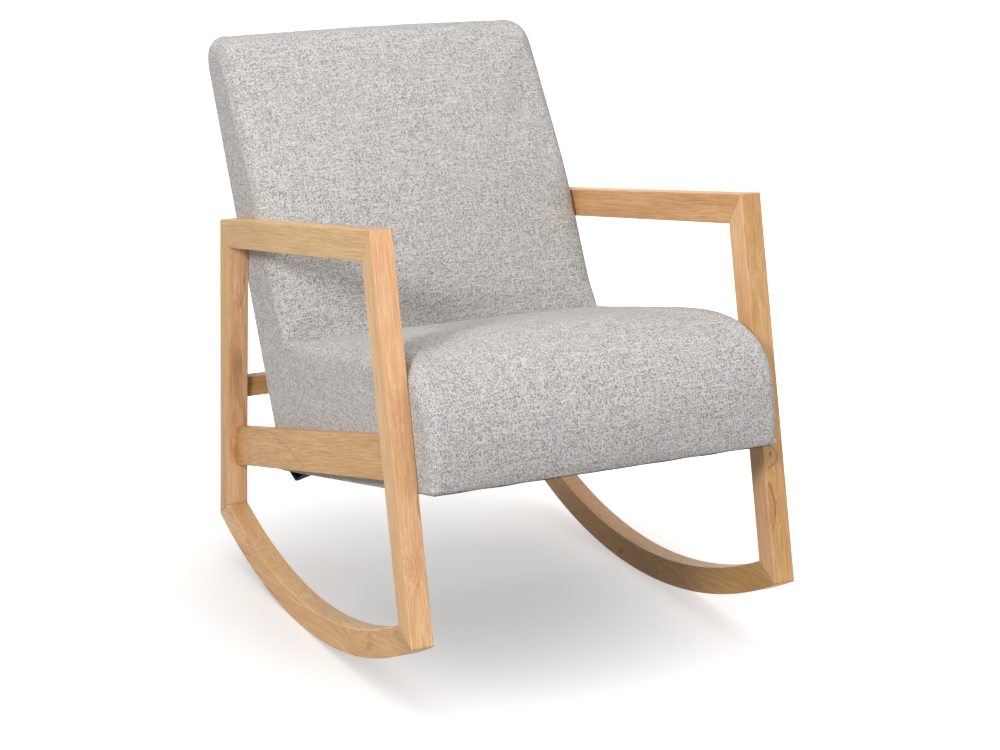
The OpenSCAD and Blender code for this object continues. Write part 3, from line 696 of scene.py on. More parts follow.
# Shade of the edges and of the broad sides, from straw (0) over peach (0.5) to honey (1),
# and how much it grows from the timber's start to its end
tones = {
    "right_arm_rail": (0.15, 0.02, 0.0),
    "right_front_leg": (0.66, 0.24, -0.1),
    "right_rear_leg": (0.52, 1.0, 0.0),
    "right_rocker": (0.24, 0.86, -0.1),
    "left_arm_rail": (0.60, 0.78, 0.0),
    "left_front_leg": (0.92, 0.40, -0.05),
    "left_rear_leg": (0.60, 0.50, 0.1),
    "left_rocker": (0.60, 0.95, 0.0),
}
for side in SIDES:
    for part, line in lines.items():
        name = f"{side}_{part}"
        origin, grain_a, rings_across, pith = grains[part]
        bumps = [tuple(MM * k for k in swirl) for swirl in swirls.get(name, [])]
        grain = (origin, grain_a, rings_across, pith, bumps)
        dark = veins.get(name, [])
        timber(name, line, (INNER_X, OUTER_X), depths[part], grain, tones[name], dark)
print("timbers so far:", len(timbers))

# %% [markdown]
# ## Seat rails and rear stretcher
#
# A thinner rail slopes down between the legs on each side and carries the seat. It lies
# flush with the frame's inner face and is cut to the legs' lean, so the same function
# makes it from two slanting cuts. One stretcher ties the rear legs together. It runs
# across the chair and square to it, so its rings are simply copies of one section.

# %% Seat rails and rear stretcher
RAIL_H = 67 * MM
RAIL_SLOPE = -14.0
rail_t = rail_box[1][0] - rail_box[0][0]
rail_top = np.array([0.0, rail_box[1][2]])
rail_front_top = crossing(rail_top, 0, front_inner, front_a)
rail_low = rail_front_top - RAIL_H * leftward(RAIL_SLOPE)
rail_cuts = straight_line(
    rail_front_top,
    crossing(rail_low, RAIL_SLOPE, front_inner, front_a),
    crossing(rail_front_top, RAIL_SLOPE, rear_inner, rear_a),
    crossing(rail_low, RAIL_SLOPE, rear_inner, rear_a),
    RAIL_H,
)
rail_line = (
    (521, 6), (490, -4), (460, -14), (438, -22), (414, -35), (394, -44), (378, -50)
)
rail_veins = {"left": [], "right": [(0.5, 1.5, *rail_line)]}
rail_swirls = {"left": (250, -10, 5, 20), "right": (560, -75, 16, 60)}
rail_tones = {"left": (0.5, 0.6, 0.0), "right": (0.8, 1.0, 0.0)}
for side in SIDES:
    bumps = [tuple(MM * k for k in rail_swirls[side])]
    grain = (rail_front_top, RAIL_SLOPE - 1.2, True, 80 * MM, bumps)
    timber(
        f"{side}_seat_rail", rail_cuts, (INNER_X, INNER_X + rail_t), RAIL_H, grain,
        rail_tones[side], rail_veins[side],
    )

low, high = (np.array(c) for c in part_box("rear_stretcher"))
size = high - low
section = timber_section(size[1], size[2])
count = round(size[0] / (2 * STEP))
x = np.linspace(low[0] + END_GAP, high[0] - END_GAP, count)
rings = np.broadcast_to(section, (count, *section.shape))
across = np.broadcast_to(x[:, None, None], (*rings.shape[:2], 1))
verts, faces = capped_stack(np.concatenate([across, low[1:] + rings], -1))
stretcher = new_piece("rear_stretcher_wood", verts, faces)
middle = (low + high) / 2
store(stretcher, "grain", (verts - middle) + random.uniform(-6, 6, 3))
store(stretcher, "tone", np.full(len(verts), 0.85), "FLOAT")
store(stretcher, "heart", np.zeros(len(verts)), "FLOAT")
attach(stretcher, "root")
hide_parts("rear_stretcher")
timbers.append(stretcher)
print("timbers:", [t.name for t in timbers])

# %% [markdown]
# ## Sizes of the seat and the back
#
# Seen from the side, the seat is a thick wedge with a rounded nose, and the back a slab
# that bends a little further back above the shoulders. Where they start and end is read
# from the CAD boxes, and only slopes, thicknesses and roundings are written here. Points
# of the seat are given along its underside and up from it, as it would lie on a bench.

# %% Sizes of the seat and the back
SEAT_SLOPE = -12.7
SEAT_H, SEAT_L = 217 * MM, 631 * MM
NOSE_L, BULGE, BULGE_H, NOSE_POWER = 170 * MM, 14 * MM, 84 * MM, 2.5
REAR_RECLINE, FACE_RECLINE, UPPER_RECLINE = 26.3, 24.8, 34.0
BACK_T, BEND_Z, BEND_R = 124 * MM, 668 * MM, 600 * MM
BROW_R, CREST_R = 60 * MM, 32 * MM
SEAM_GAP = 0.3 * MM
FOLD_R, SEAM_R = 9 * MM, 4 * MM  # corners of the outlines at the folds and at the seam
# Rounding of the side edges in millimetres: on top, down the front, at its foot, where
# the cloth is stapled, and where the side panels of seat and back meet
TOP_EDGE, FRONT_EDGE, FOOT_EDGE, STAPLED_EDGE, SEAM_EDGE = 36, 16, 7, 3, 2.5

seat_low, seat_high = (np.array(c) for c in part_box("seat_cover"))
back_low, back_high = (np.array(c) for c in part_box("back_cover"))
HALF_W = seat_high[0]
seam_y = back_low[1] - SEAM_GAP
front_y = seat_low[1]
seat_drop = (seam_y - front_y) * np.tan(np.radians(SEAT_SLOPE))
seat_origin = np.array([front_y, seat_low[2] - seat_drop])


def seat_point(along, up):
    """Point along the seat's underside and up, square to it; arrays work too."""
    along, up = np.broadcast_arrays(np.atleast_1d(along), np.atleast_1d(up))
    rising = up[:, None] * leftward(SEAT_SLOPE)
    return seat_origin + along[:, None] * heading(SEAT_SLOPE) + rising


print("seat starts at (y, z) in mm:", (seat_origin / MM).round(1))

# %% [markdown]
# ## Corners of the seat and the back
#
# Both could be modelled freehand as subdivided boxes, but then the cloth would not lie
# where the foam is. So their corners are found by crossing the model's own lines: the
# slopes of seat and back, the top, and the seam where the two side panels meet.

# %% Corners of the seat and the back
rear_line_a, face_line_a, brow_line_a = (
    90 - recline for recline in (REAR_RECLINE, FACE_RECLINE, UPPER_RECLINE)
)
back_foot = seat_point(SEAT_L, 0)[0]
seat_top = seat_point(0, SEAT_H)[0]
top_line = np.array([0.0, back_high[2]])
back_top_rear = crossing(back_foot, rear_line_a, top_line, 0)
back_face = crossing(
    back_top_rear + BACK_T * leftward(rear_line_a), rear_line_a, seat_top, SEAT_SLOPE
)
back_bend = crossing(back_face, face_line_a, np.array([0.0, BEND_Z]), 0)
seam_low = crossing(np.array([seam_y, 0.0]), 90, seat_origin, SEAT_SLOPE)
seam_top = crossing(np.array([seam_y, 0.0]), 90, back_face, face_line_a)

print("seam of the side panels from", (seam_low / MM).round(1), "to", (seam_top / MM).round(1))

# %% [markdown]
# ## Outline of the seat
#
# The outline is a closed loop of points: up the front, over the nose, back along the top
# and down behind. The nose is a superellipse, fuller than a quarter circle, as thick foam
# is when a cover pulls it round. Each point also says how strongly the side edge is
# rounded there: softly on top, tighter down the front, and almost sharp where the cloth is
# stapled under the frame.


# %% Outline of the seat
def joined(*parts):
    """One loop from parts given as (points, edge rounding), both over their own length."""
    points = np.concatenate([p for p, _ in parts])
    edges = np.concatenate([np.broadcast_to(r, len(p)) for p, r in parts])
    return points, edges


def fading(count, stops, values):
    """Edge rounding of count points that goes through values at stops."""
    return np.interp(np.arange(count), stops, values)


def between(a, b, count):
    """Evenly spaced points strictly between a and b."""
    share = np.linspace(0, 1, count + 2)[1:-1, None]
    return a + share * (b - a)


quarter = np.linspace(0, np.pi / 2, 30)[1:]
nose = seat_point(
    NOSE_L - (NOSE_L + BULGE) * np.cos(quarter) ** (2 / NOSE_POWER),
    BULGE_H + (SEAT_H - BULGE_H) * np.sin(quarter) ** (2 / NOSE_POWER),
)
share = np.linspace(0, 1, 15)[1:]
front = seat_point(-BULGE * (1 - (1 - share) ** 2), BULGE_H * share)
crease = crossing(seat_top, SEAT_SLOPE, back_face - [SEAM_GAP, 0], face_line_a)
front_foot = fillet(seat_point(60 * MM, 0)[0], seat_origin, front[0], FOLD_R, 5)
crease_turn = fillet(nose[-1], crease, seam_top, FOLD_R, 6)
rear_foot = fillet(seam_top, seam_low - [SEAM_GAP, 0], seat_origin, SEAM_R, 3)
seat_outline, seat_edges = joined(
    (front_foot, FOOT_EDGE),
    (front, np.minimum(FOOT_EDGE + 60 * share, FRONT_EDGE)),
    (nose, FRONT_EDGE + (TOP_EDGE - FRONT_EDGE) * np.sin(quarter) ** 3),
    (between(nose[-1], crease_turn[0], 44), fading(44, [0, 30, 43], [TOP_EDGE, 30, 8])),
    (crease_turn, np.linspace(7, SEAM_EDGE, 7)),
    (between(crease_turn[-1], rear_foot[0], 22), SEAM_EDGE),
    (rear_foot, SEAM_EDGE),
    (
        between(rear_foot[-1], front_foot[0], 40),
        fading(40, [0, 34, 39], [STAPLED_EDGE, STAPLED_EDGE, FOOT_EDGE]),
    ),
)

print("seat outline:", len(seat_outline), "points")
print("side edges rounded by", seat_edges.min(), "to", seat_edges.max(), "mm")

# %% [markdown]
# ## Outline of the back
#
# The back's loop goes up the rear, over crest and brow, down the face, and in behind the
# seat. Its corners are true arcs that touch both sides, since the foam is cut square and
# the cover rounds it evenly. The bend above the shoulders is so wide that it is hardly
# seen as a corner.

# %% Outline of the back
bend_top = crossing(back_bend, brow_line_a, top_line, 0)
crest_turn = fillet(back_foot, back_top_rear, bend_top, CREST_R, 8)
brow_turn = fillet(back_top_rear, bend_top, back_bend, BROW_R, 12)
bend_turn = fillet(bend_top, back_bend, back_face, BEND_R, 14)
face_foot = crossing(back_face, face_line_a, seat_top, SEAT_SLOPE)
foot_turn = fillet(seam_low, back_foot, back_top_rear, 3 * MM, 3)
low_turn = fillet(seam_top, seam_low + [SEAM_GAP, 0], back_foot, SEAM_R, 3)
back_outline, back_edges = joined(
    (foot_turn, STAPLED_EDGE),
    (between(foot_turn[-1], crest_turn[0], 84), 8),
    (crest_turn, np.linspace(14, 30, 9)),
    (between(crest_turn[-1], brow_turn[0], 3), 30),
    (brow_turn, np.linspace(30, 26, 13)),
    (between(brow_turn[-1], bend_turn[0], 10), 24),
    (bend_turn, 24),
    (between(bend_turn[-1], face_foot, 30), fading(30, [0, 22, 29], [24, 20, 7])),
    (between(face_foot, seam_top, 3), 4),
    (between(seam_top, low_turn[0], 22), SEAM_EDGE),
    (low_turn, SEAM_EDGE),
    (between(low_turn[-1], foot_turn[0], 5), STAPLED_EDGE),
)
print("back outline:", len(back_outline), "points")
print("crease between seat and back at (y, z) in mm:", (back_face / MM).round(1))

# %% [markdown]
# ## Sewing a cushion
#
# A cushion is a stack of rings too, but here the stack runs across the chair. The rings
# in the middle are the outline itself; at each side they follow a quarter circle inwards
# and then close over the flat side panel onto a short line inside it. So one grid gives
# front, top, rounded edges and sides without a gap.

# %% Sewing a cushion
RIM_STEPS = 6
SIDE_RINGS = 9
ACROSS = 56
SMOOTHING = np.array([1, 2, 3, 2, 1]) / 9


def outward_normals(outline):
    """Unit normals of a closed loop: its direction turned by a quarter, outwards by the
    sign of the area, half the sum of y z' - z y'."""
    ahead = np.roll(outline, -1, 0) - np.roll(outline, 1, 0)
    area = np.sum(outline[:, 0] * ahead[:, 1] - outline[:, 1] * ahead[:, 0])
    normal = np.stack([ahead[:, 1], -ahead[:, 0]], 1) * np.sign(area)
    return normal / np.linalg.norm(normal, axis=1, keepdims=True)


def cushion_rings(outline, edges, core, crown):
    """Stack of rings at x = +-(W - r + r sin t), drawn in by r (1 - cos t) along the
    outline's normals, t from 0 on the face to 90 degrees at the side; then rings that
    close on the core line. crown lifts the middle by crown (1 - s^2)^1.5. Also returns
    how far across the cloth each ring of the strip lies."""
    normal = outward_normals(outline)
    padded = np.concatenate([edges[-2:], edges, edges[:2]])
    r = np.convolve(padded, SMOOTHING, "valid") * MM
    t = np.linspace(0, np.pi / 2, RIM_STEPS + 1)[1:]
    s = np.linspace(-1, 1, ACROSS + 1)
    lift = crown[None, :] * (1 - s[:, None] ** 2) ** 1.5
    middle_x = s[:, None] * (HALF_W - r)
    middle = np.concatenate([middle_x[..., None], outline + lift[..., None] * normal], -1)
    rim_x = HALF_W - r + r * np.sin(t)[:, None]
    rim = outline - (r * (1 - np.cos(t)[:, None]))[..., None] * normal
    span = core[1] - core[0]
    along = np.clip((rim[-1] - core[0]) @ span / (span @ span), 0, 1)
    target = core[0] + along[:, None] * span
    k = np.linspace(0, 1, SIDE_RINGS + 1)[1:, None, None]
    side = rim[-1] + k * (target - rim[-1])
    side_x = np.full((SIDE_RINGS, len(outline)), HALF_W)
    x, flat = np.concatenate([rim_x, side_x]), np.concatenate([rim, side])
    left = np.concatenate([x[..., None], flat], -1)
    rim_way = HALF_W - r + r * t[:, None]
    across = np.concatenate([-rim_way[::-1], middle_x, rim_way])
    return np.concatenate([left[::-1] * [-1, 1, 1], middle, left]), across


print("smoothing weights:", (SMOOTHING * 9).astype(int), "/ 9")

# %% [markdown]
# ## Cutting the cloth
#
# The cloth is cut in panels: one long strip over front, top and rear, and one panel for
# each side. The strip's pattern counts the way across and the way round the outline; the
# side panels use level and height. An automatic unwrap would stretch the weave somewhere.
# This map keeps both ways in metres, so the weave has its true size everywhere and its
# direction changes only at the seams.

# %% Cutting the cloth
SIDE_CUT, REAR_CUT = [7.3, 3.1], [1.7, 4.2]  # where these panels lie on the cloth, metres


def lay_cloth(piece, rings, across, outline):
    """UV map in metres: (way across, way round) on the strip, (y, z) on the sides."""
    points = len(outline)
    steps = np.linalg.norm(np.roll(outline, -1, 0) - outline, axis=1)
    round_way = np.concatenate([[0], np.cumsum(steps)])
    seam = SIDE_RINGS + np.array([0, len(across) - 1])
    mesh = piece.data
    index = np.empty(len(mesh.loops), np.int32)
    mesh.loops.foreach_get("vertex_index", index)
    ring, point = index // points, index % points
    face_rings = ring.reshape(-1, 4)
    on_side = (face_rings.min(1) < seam[0]) | (face_rings.max(1) > seam[1])
    last = np.repeat(point.reshape(-1, 4).max(1) == points - 1, 4)
    wrapped = np.where(last & (point == 0), points, point)
    strip_ring = np.clip(ring - SIDE_RINGS, 0, len(across) - 1)
    strip = np.stack([across[strip_ring, point], round_way[wrapped]], 1)
    panel = rings[ring, point][:, 1:] + SIDE_CUT
    weave = np.where(np.repeat(on_side, 4)[:, None], panel, strip)
    layer = mesh.uv_layers.new(name="weave")
    layer.data.foreach_set("uv", weave.astype(np.float32).ravel())


print("the side panels are cut", SIDE_CUT, "m away on the cloth, the rear panel", REAR_CUT)

# %% [markdown]
# ## Covers of the seat and the back
#
# Seat and back are upholstered apart and pushed together, so each cover is a closed piece
# of its own. Tight cloth presses foam down along its edges and leaves the middle of each
# face a little higher. The crown is that lift. It is none where the cloth is stapled and
# largest on the faces that the sitter touches.


# %% Covers of the seat and the back
def cushion(name, node, outline, edges, core, crown):
    """A closed cushion with its cloth laid on it; returns it and its grid's size."""
    rings, across = cushion_rings(outline, edges, core, crown)
    count, points = rings.shape[:2]
    verts = rings.reshape(-1, 3)
    faces = strip_faces(count, points)
    if signed_volume(verts, faces) < 0:
        faces = faces[:, ::-1]
    piece = new_piece(name, verts, faces)
    lay_cloth(piece, rings, across, outline)
    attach(piece, "root")
    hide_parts(node)
    return piece, count, points


seat_crown = np.interp(seat_edges, [3, 10, 16, 36], [0, 0, 2, 5]) * MM
seat_core = seat_point([120 * MM, 470 * MM], 100 * MM)
seat, seat_rings, seat_points = cushion(
    "seat_upholstery", "seat_cover", seat_outline, seat_edges, seat_core, seat_crown
)
back_crown = np.interp(back_edges, [8, 12, 24, 30], [0, 0, 6, 3]) * MM
middle_of_back = back_foot + 0.5 * BACK_T * leftward(rear_line_a)
back_core = middle_of_back + np.array([[90 * MM], [610 * MM]]) * heading(rear_line_a)
back, back_rings, back_points = cushion(
    "back_upholstery", "back_cover", back_outline, back_edges, back_core, back_crown
)
print("seat grid:", seat_rings, "x", seat_points, " back grid:", back_rings, "x", back_points)

# %% [markdown]
# ## Air in the cushions
#
# Foam under a tight cover pushes it out a little everywhere except where it is sewn or
# stapled. A short cloth simulation with inner pressure gives that look better than a
# formula: the seams, the side panels, the underside and whatever is hidden are held,
# the rest swells, and no point may move further than a cap.

# %% Air in the cushions
SWELL_STEPS = 20
SWELL_PRESSURE = 2.0
FREE_EDGE = 12  # only points whose side edge is rounder than this may swell


def weld(piece, distance):
    """Merges vertices closer than distance, as where the side panels close on their core."""
    work = bmesh.new()
    work.from_mesh(piece.data)
    bmesh.ops.remove_doubles(work, verts=work.verts, dist=distance)
    work.to_mesh(piece.data)
    work.free()


def coordinates(mesh):
    """All vertex coordinates as an array."""
    co = np.empty(len(mesh.vertices) * 3, np.float32)
    mesh.vertices.foreach_get("co", co)
    return co.reshape(-1, 3).astype(float)


def hold(piece, held):
    """Marks the vertices that the simulation keeps in place."""
    group = piece.vertex_groups.new(name="held")
    group.add(np.flatnonzero(held).tolist(), 1.0, "REPLACE")


def swell(piece, pressure, cap):
    """A few steps of cloth under pressure. A point that would move by m moves by
    cap m / (cap + m) instead, which is m while small and never reaches cap."""
    before = coordinates(piece.data)
    cloth = piece.modifiers.new("cloth", "CLOTH")
    cloth.settings.quality = 6
    cloth.settings.mass = 0.25
    cloth.settings.tension_stiffness = cloth.settings.compression_stiffness = 25
    cloth.settings.shear_stiffness = 10
    cloth.settings.bending_stiffness = 0.8
    cloth.settings.use_pressure = True
    cloth.settings.uniform_pressure_force = pressure
    cloth.settings.vertex_group_mass = "held"
    cloth.settings.effector_weights.gravity = 0
    for step in range(1, SWELL_STEPS + 1):
        scene.frame_set(step)
    graph = bpy.context.evaluated_depsgraph_get()
    moved = coordinates(piece.evaluated_get(graph).data) - before
    piece.modifiers.remove(cloth)
    piece.vertex_groups.clear()
    scene.frame_set(1)
    length = np.linalg.norm(moved, axis=1, keepdims=True)
    moved *= cap / (cap + length)
    after = before + moved
    after[:, 0] = np.clip(after[:, 0], -HALF_W, HALF_W)
    piece.data.vertices.foreach_set("co", after.astype(np.float32).ravel())
    piece.data.update()
    return float(length.max()), float(np.linalg.norm(moved, axis=1).mean())


def free_area(rings, points, edges):
    """True for the vertices that may swell: face, top and rims, away from the side
    panels, the underside and the hidden surfaces."""
    ring, point = np.divmod(np.arange(rings * points), points)
    away = np.minimum(ring, rings - 1 - ring) > SIDE_RINGS
    return away & (edges[point] > FREE_EDGE)


print("a point may swell where its side edge is rounder than", FREE_EDGE, "mm")

# %% [markdown]
# ## Swelling the seat and the back
#
# The side panels close on a line, so their last rings are merged before the cloth is
# simulated. The cap keeps a cushion within a few millimetres of its foam, however far the
# pressure would push it. One level of subdivision then smooths what the grid left.

# %% Swelling the seat and the back
for piece, rings, points, edges, cap in (
    (seat, seat_rings, seat_points, seat_edges, 7 * MM),
    (back, back_rings, back_points, back_edges, 6 * MM),
):
    hold(piece, ~free_area(rings, points, edges))
    weld(piece, 0.02 * MM)
    reach, mean = (round(way / MM, 2) for way in swell(piece, SWELL_PRESSURE, cap))
    print(piece.name, "would swell", reach, "mm, mean kept", mean)
    finer = piece.modifiers.new("finer", "SUBSURF")
    finer.levels = finer.render_levels = 1

# %% [markdown]
# ## Foam that follows its cover
#
# The CAD foam fills plain outlines, while the sewn cover rounds its edges more softly.
# Real foam is squeezed to the cover's shape, so a copy of each foam block gets an even
# mesh, and every vertex that lies too close to the cover or outside it moves to a small
# depth under it.

# %% Foam that follows its cover
FOAM_DEPTH = 2.5 * MM
FOAM_GRID = 7 * MM


def foam_under(cover, node):
    """A remeshed copy of the CAD foam with each vertex at least FOAM_DEPTH inside."""
    piece = bpy.data.objects.new(node + "_fitted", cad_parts[node].data.copy())
    scene.collection.objects.link(piece)
    weld(piece, 0.01 * MM)
    even = piece.modifiers.new("even", "REMESH")
    even.mode, even.voxel_size, even.use_smooth_shade = "VOXEL", FOAM_GRID, True
    graph = bpy.context.evaluated_depsgraph_get()
    skin = BVHTree.FromObject(cover, graph)
    piece.data = bpy.data.meshes.new_from_object(piece.evaluated_get(graph))
    piece.modifiers.clear()
    moved = 0
    for vertex in piece.data.vertices:
        near, normal, _, _ = skin.find_nearest(vertex.co)
        if (vertex.co - near).dot(normal) > -FOAM_DEPTH:
            vertex.co = near - normal * FOAM_DEPTH
            moved += 1
    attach(piece, "root")
    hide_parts(node)
    print(node, "vertices fitted:", moved, "of", len(piece.data.vertices))
    return piece


seat_foam = foam_under(seat, "seat_foam")
back_foam = foam_under(back, "back_foam")

# %% [markdown]
# ## A thin closed sheet
#
# Two more pieces of cloth finish the chair where nobody looks: a panel behind the back and
# a lining under the seat. Both are grids over their flat cut, one for each face, joined
# round the border. A Solidify modifier would do that too, but with two grids each face can
# be given its own shape, such as an edge that is turned in.

# %% A thin closed sheet
PANEL_T = 2 * MM
LINING_T, LINING_GAP = 0.8 * MM, 0.3 * MM


def sheet_grid(name, node, top_points, under_points):
    """A thin closed sheet from two grids of equal shape, outer and inner face, joined
    round their border."""
    rows, columns = top_points.shape[:2]
    border = np.concatenate([
        np.arange(columns),
        np.arange(1, rows) * columns + columns - 1,
        (rows - 1) * columns + np.arange(columns - 1)[::-1],
        np.arange(1, rows - 1)[::-1] * columns,
    ])
    verts = np.concatenate([top_points.reshape(-1, 3), under_points.reshape(-1, 3)])
    i, j = np.meshgrid(np.arange(rows - 1), np.arange(columns - 1), indexing="ij")
    corner = (i * columns + j).ravel()
    quads = np.stack([corner, corner + 1, corner + columns + 1, corner + columns], 1)
    far = rows * columns
    after = np.roll(border, -1)
    rim = np.stack([after, border, border + far, after + far], 1)
    faces = np.concatenate([quads, quads[:, ::-1] + far, rim])
    if signed_volume(verts, faces) < 0:
        faces = faces[:, ::-1]
    piece = new_piece(name, verts, faces)
    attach(piece, "root")
    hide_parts(node)
    return piece


def flat_uv(piece, flat):
    """Gives every vertex, on both faces of the sheet, its place in the flat cut."""
    both = np.concatenate([flat.reshape(-1, 2)] * 2)
    index = np.empty(len(piece.data.loops), np.int32)
    piece.data.loops.foreach_get("vertex_index", index)
    layer = piece.data.uv_layers.new(name="weave")
    layer.data.foreach_set("uv", both[index].astype(np.float32).ravel())


print("the panel is", PANEL_T / MM, "mm thick, the lining", LINING_T / MM, "mm")

# %% [markdown]
# ## Rear panel
#
# Behind the back a separate panel of the same cloth is turned in at its edges and sewn on
# just inside the outline. It bulges a millimetre or two in the middle and rounds down at
# its edges, over the last few millimetres, so the grid is denser there.

# %% Rear panel
PANEL_INSET, PANEL_TURN = 8 * MM, 15 * MM
PANEL_SUNK, PANEL_RISE, RISE_W = 0.6 * MM, 1.4 * MM, 4 * MM  # its edge lies in, then rises
PANEL_BULGE = 1.6 * MM
panel_w = HALF_W - PANEL_INSET
# Height on the rear face at which the rounding of the crest starts
crest_l = np.linalg.norm(back_top_rear - back_foot) - CREST_R / np.tan(
    np.radians(rear_line_a) / 2
)


def denser_at_ends(count):
    """Steps from -1 to 1 that get shorter towards both ends: 1 - (1 - |s|)^1.35."""
    s = np.linspace(-1, 1, count)
    return np.sign(s) * (1 - (1 - np.abs(s)) ** 1.35)


u, v = np.meshgrid(denser_at_ends(61), denser_at_ends(81))
panel_l = (crest_l - PANEL_INSET) / 2
x = u * panel_w
z = PANEL_INSET + panel_l * (1 + v)
edge = np.minimum((1 - np.abs(u)) * panel_w, (1 - np.abs(v)) * panel_l)
rounded = np.sqrt(1 - (1 - np.clip(edge / RISE_W, 0, 1)) ** 2)
bulge = PANEL_BULGE * (1 - u**2) * (1 - v**2)
out = -PANEL_SUNK + PANEL_RISE * rounded + bulge


def on_rear(x, out, z):
    """Point out square to the back's rear face, and z up it from its foot."""
    inwards = out[..., None] * leftward(rear_line_a)
    flat = back_foot + z[..., None] * heading(rear_line_a) - inwards
    return np.concatenate([x[..., None], flat], -1)


panel = sheet_grid(
    "rear_panel", "back_panel",
    on_rear(x, out, z), on_rear(x, np.full_like(out, -PANEL_T), z),
)
flat_uv(panel, np.stack([x, z], -1) + REAR_CUT)

print("rear panel", round(2 * panel_w / MM), "x", round(2 * panel_l / MM), "mm")

# %% [markdown]
# ## Black lining
#
# Under the seat a thin black lining keeps dust out. It is stapled flat along its edges and
# sags a little between them. Its rear corners are only folded, so they hang loose. That is
# a matter of millimetres, which a formula gives as well as a simulation would.

# %% Black lining
SAG, WRINKLE = 2.2 * MM, 0.5 * MM  # depth of the sag and of the wrinkles in it
FOLD_X, FOLD_Y, FOLD_DROP = 283 * MM, 104 * MM, 16 * MM  # the loose corner's tip
FOLD_AHEAD, FOLD_BEHIND, FOLD_INWARDS = 43 * MM, 26 * MM, 60 * MM  # how far it spreads
lining_w, lining_l = HALF_W - PANEL_INSET, SEAT_L - 2 * PANEL_INSET
u, v = np.meshgrid(np.linspace(-1, 1, 97), np.linspace(0, 1, 97))
x, along = u * lining_w, PANEL_INSET + v * lining_l
sag = SAG * (1 - u**6) * (1 - (2 * v - 1) ** 8)
sag += WRINKLE * np.sin(23 * u + 3 * v) * np.sin(19 * v + 2 * u) * (1 - u**6)
tip = (FOLD_Y - front_y) / np.cos(np.radians(SEAT_SLOPE))
off = np.where(along < tip, (tip - along) / FOLD_AHEAD, (along - tip) / FOLD_BEHIND)
inward = (FOLD_X - np.abs(x)) / FOLD_INWARDS
drop = sag + FOLD_DROP * np.clip(1 - off, 0, 1) * np.clip(1 - np.abs(inward), 0, 1)


def under_seat(x, along, drop):
    """Point under the seat: along its underside and drop below it."""
    hanging = drop[..., None] * leftward(SEAT_SLOPE)
    flat = seat_origin + along[..., None] * heading(SEAT_SLOPE) - hanging
    return np.concatenate([x[..., None], flat], -1)


lining = sheet_grid(
    "black_lining", "dust_cover",
    under_seat(x, along, drop + LINING_GAP),
    under_seat(x, along, drop + LINING_GAP + LINING_T),
)
flat_uv(lining, np.stack([x, along], -1))
print("lining", round(2 * lining_w / MM), "x", round(lining_l / MM), "mm")

# %% [markdown]
# ## Helpers for node groups
#
# Several finishes share an effect: all the woods have a grain, and two cloths a weave. A
# node group holds such an effect once, with named inputs, and each material places it with
# its own values. It gives out masks and a height, never a shader, and the material turns
# them into its own colours.


# %% Helpers for node groups
def new_group(name, inputs, outputs):
    """A shader node group; returns its tree, its given values and its outputs."""
    group = bpy.data.node_groups.new(name, "ShaderNodeTree")
    for label, kind, default in inputs:
        socket = group.interface.new_socket(label, in_out="INPUT", socket_type=kind)
        if default is not None:
            socket.default_value = default
    for label, kind in outputs:
        group.interface.new_socket(label, in_out="OUTPUT", socket_type=kind)
    given = group.nodes.new("NodeGroupInput").outputs
    return group, given, group.nodes.new("NodeGroupOutput").inputs


def give_out(group, out, values):
    """Wires one value to each output of a group, by label."""
    for label, value in values.items():
        group.links.new(value, out[label])


def stretched(tree, vector, scale):
    """The vector scaled per axis."""
    return put(tree, "VectorMath", {0: vector, 1: scale}, operation="MULTIPLY")


def noise(tree, vector, scale=(1, 1, 1), detail=2.0, roughness=0.5, distortion=0.0):
    """Value of a noise texture on the stretched vector."""
    slots = {
        "Vector": stretched(tree, vector, scale),
        "Scale": 1.0,
        "Detail": detail,
        "Roughness": roughness,
        "Distortion": distortion,
    }
    return put(tree, "TexNoise", slots)


FLOAT, VECTOR = "NodeSocketFloat", "NodeSocketVector"
print("sockets:", FLOAT, VECTOR)

# %% [markdown]
# ## Growth rings
#
# The frame is pale hardwood under a satin lacquer. Its growth rings wander slowly and
# break off here and there, with fine lines inside each and now and then a dark mineral
# streak. A wave texture would repeat too evenly, so the depth in the plank is bent by
# noise and divided by the ring width. The whole part counts the rings, and the rest tells
# how far through its year a point lies.

# %% Growth rings
grain_group, given, out = new_group(
    "wood_grain",
    [("Plank", VECTOR, None), ("Ring Width", FLOAT, 0.0024), ("Wander", FLOAT, 0.009)],
    [(n, FLOAT) for n in ("Rings", "Streaks", "Fibres", "Flecks", "Clouds", "Height")],
)
# The same helpers, each with this group's tree already given
g_calc, g_noise, g_ramp = (partial(f, grain_group) for f in (calc, noise, ramp))
plank = given["Plank"]
through = put(grain_group, "SeparateXYZ", {0: plank}, output=2)
wander = g_calc("SUBTRACT", g_noise(plank, (2.2, 11, 11), 1.5), 0.5)
wander = g_calc("MULTIPLY", wander, given["Wander"])
ripple = g_calc("SUBTRACT", g_noise(plank, (14, 90, 90), 2.0), 0.5)
depth = g_calc("ADD", through, wander)
depth = g_calc("MULTIPLY_ADD", ripple, 0.0011, depth)
ring = g_calc("DIVIDE", depth, given["Ring Width"])


def along_rings(scale, detail, offset):
    """Noise that depends on the ring count alone, so it is the same along a ring."""
    place = g_calc("ADD", ring, offset)
    slots = {"W": place, "Scale": scale, "Detail": detail}
    return put(grain_group, "TexNoise", slots, noise_dimensions="1D")


uneven = g_calc("MULTIPLY_ADD", along_rings(0.8, 2.0, 0.0), 1.2, ring)


def late_wood(count, power):
    """Darkens slowly through each ring and ends sharply at the next."""
    phase = g_calc("FRACT", count)
    edge = g_ramp(phase, 0.78, 1.0, 1.0, 0.0)
    return g_calc("MULTIPLY", g_calc("POWER", phase, power), edge)


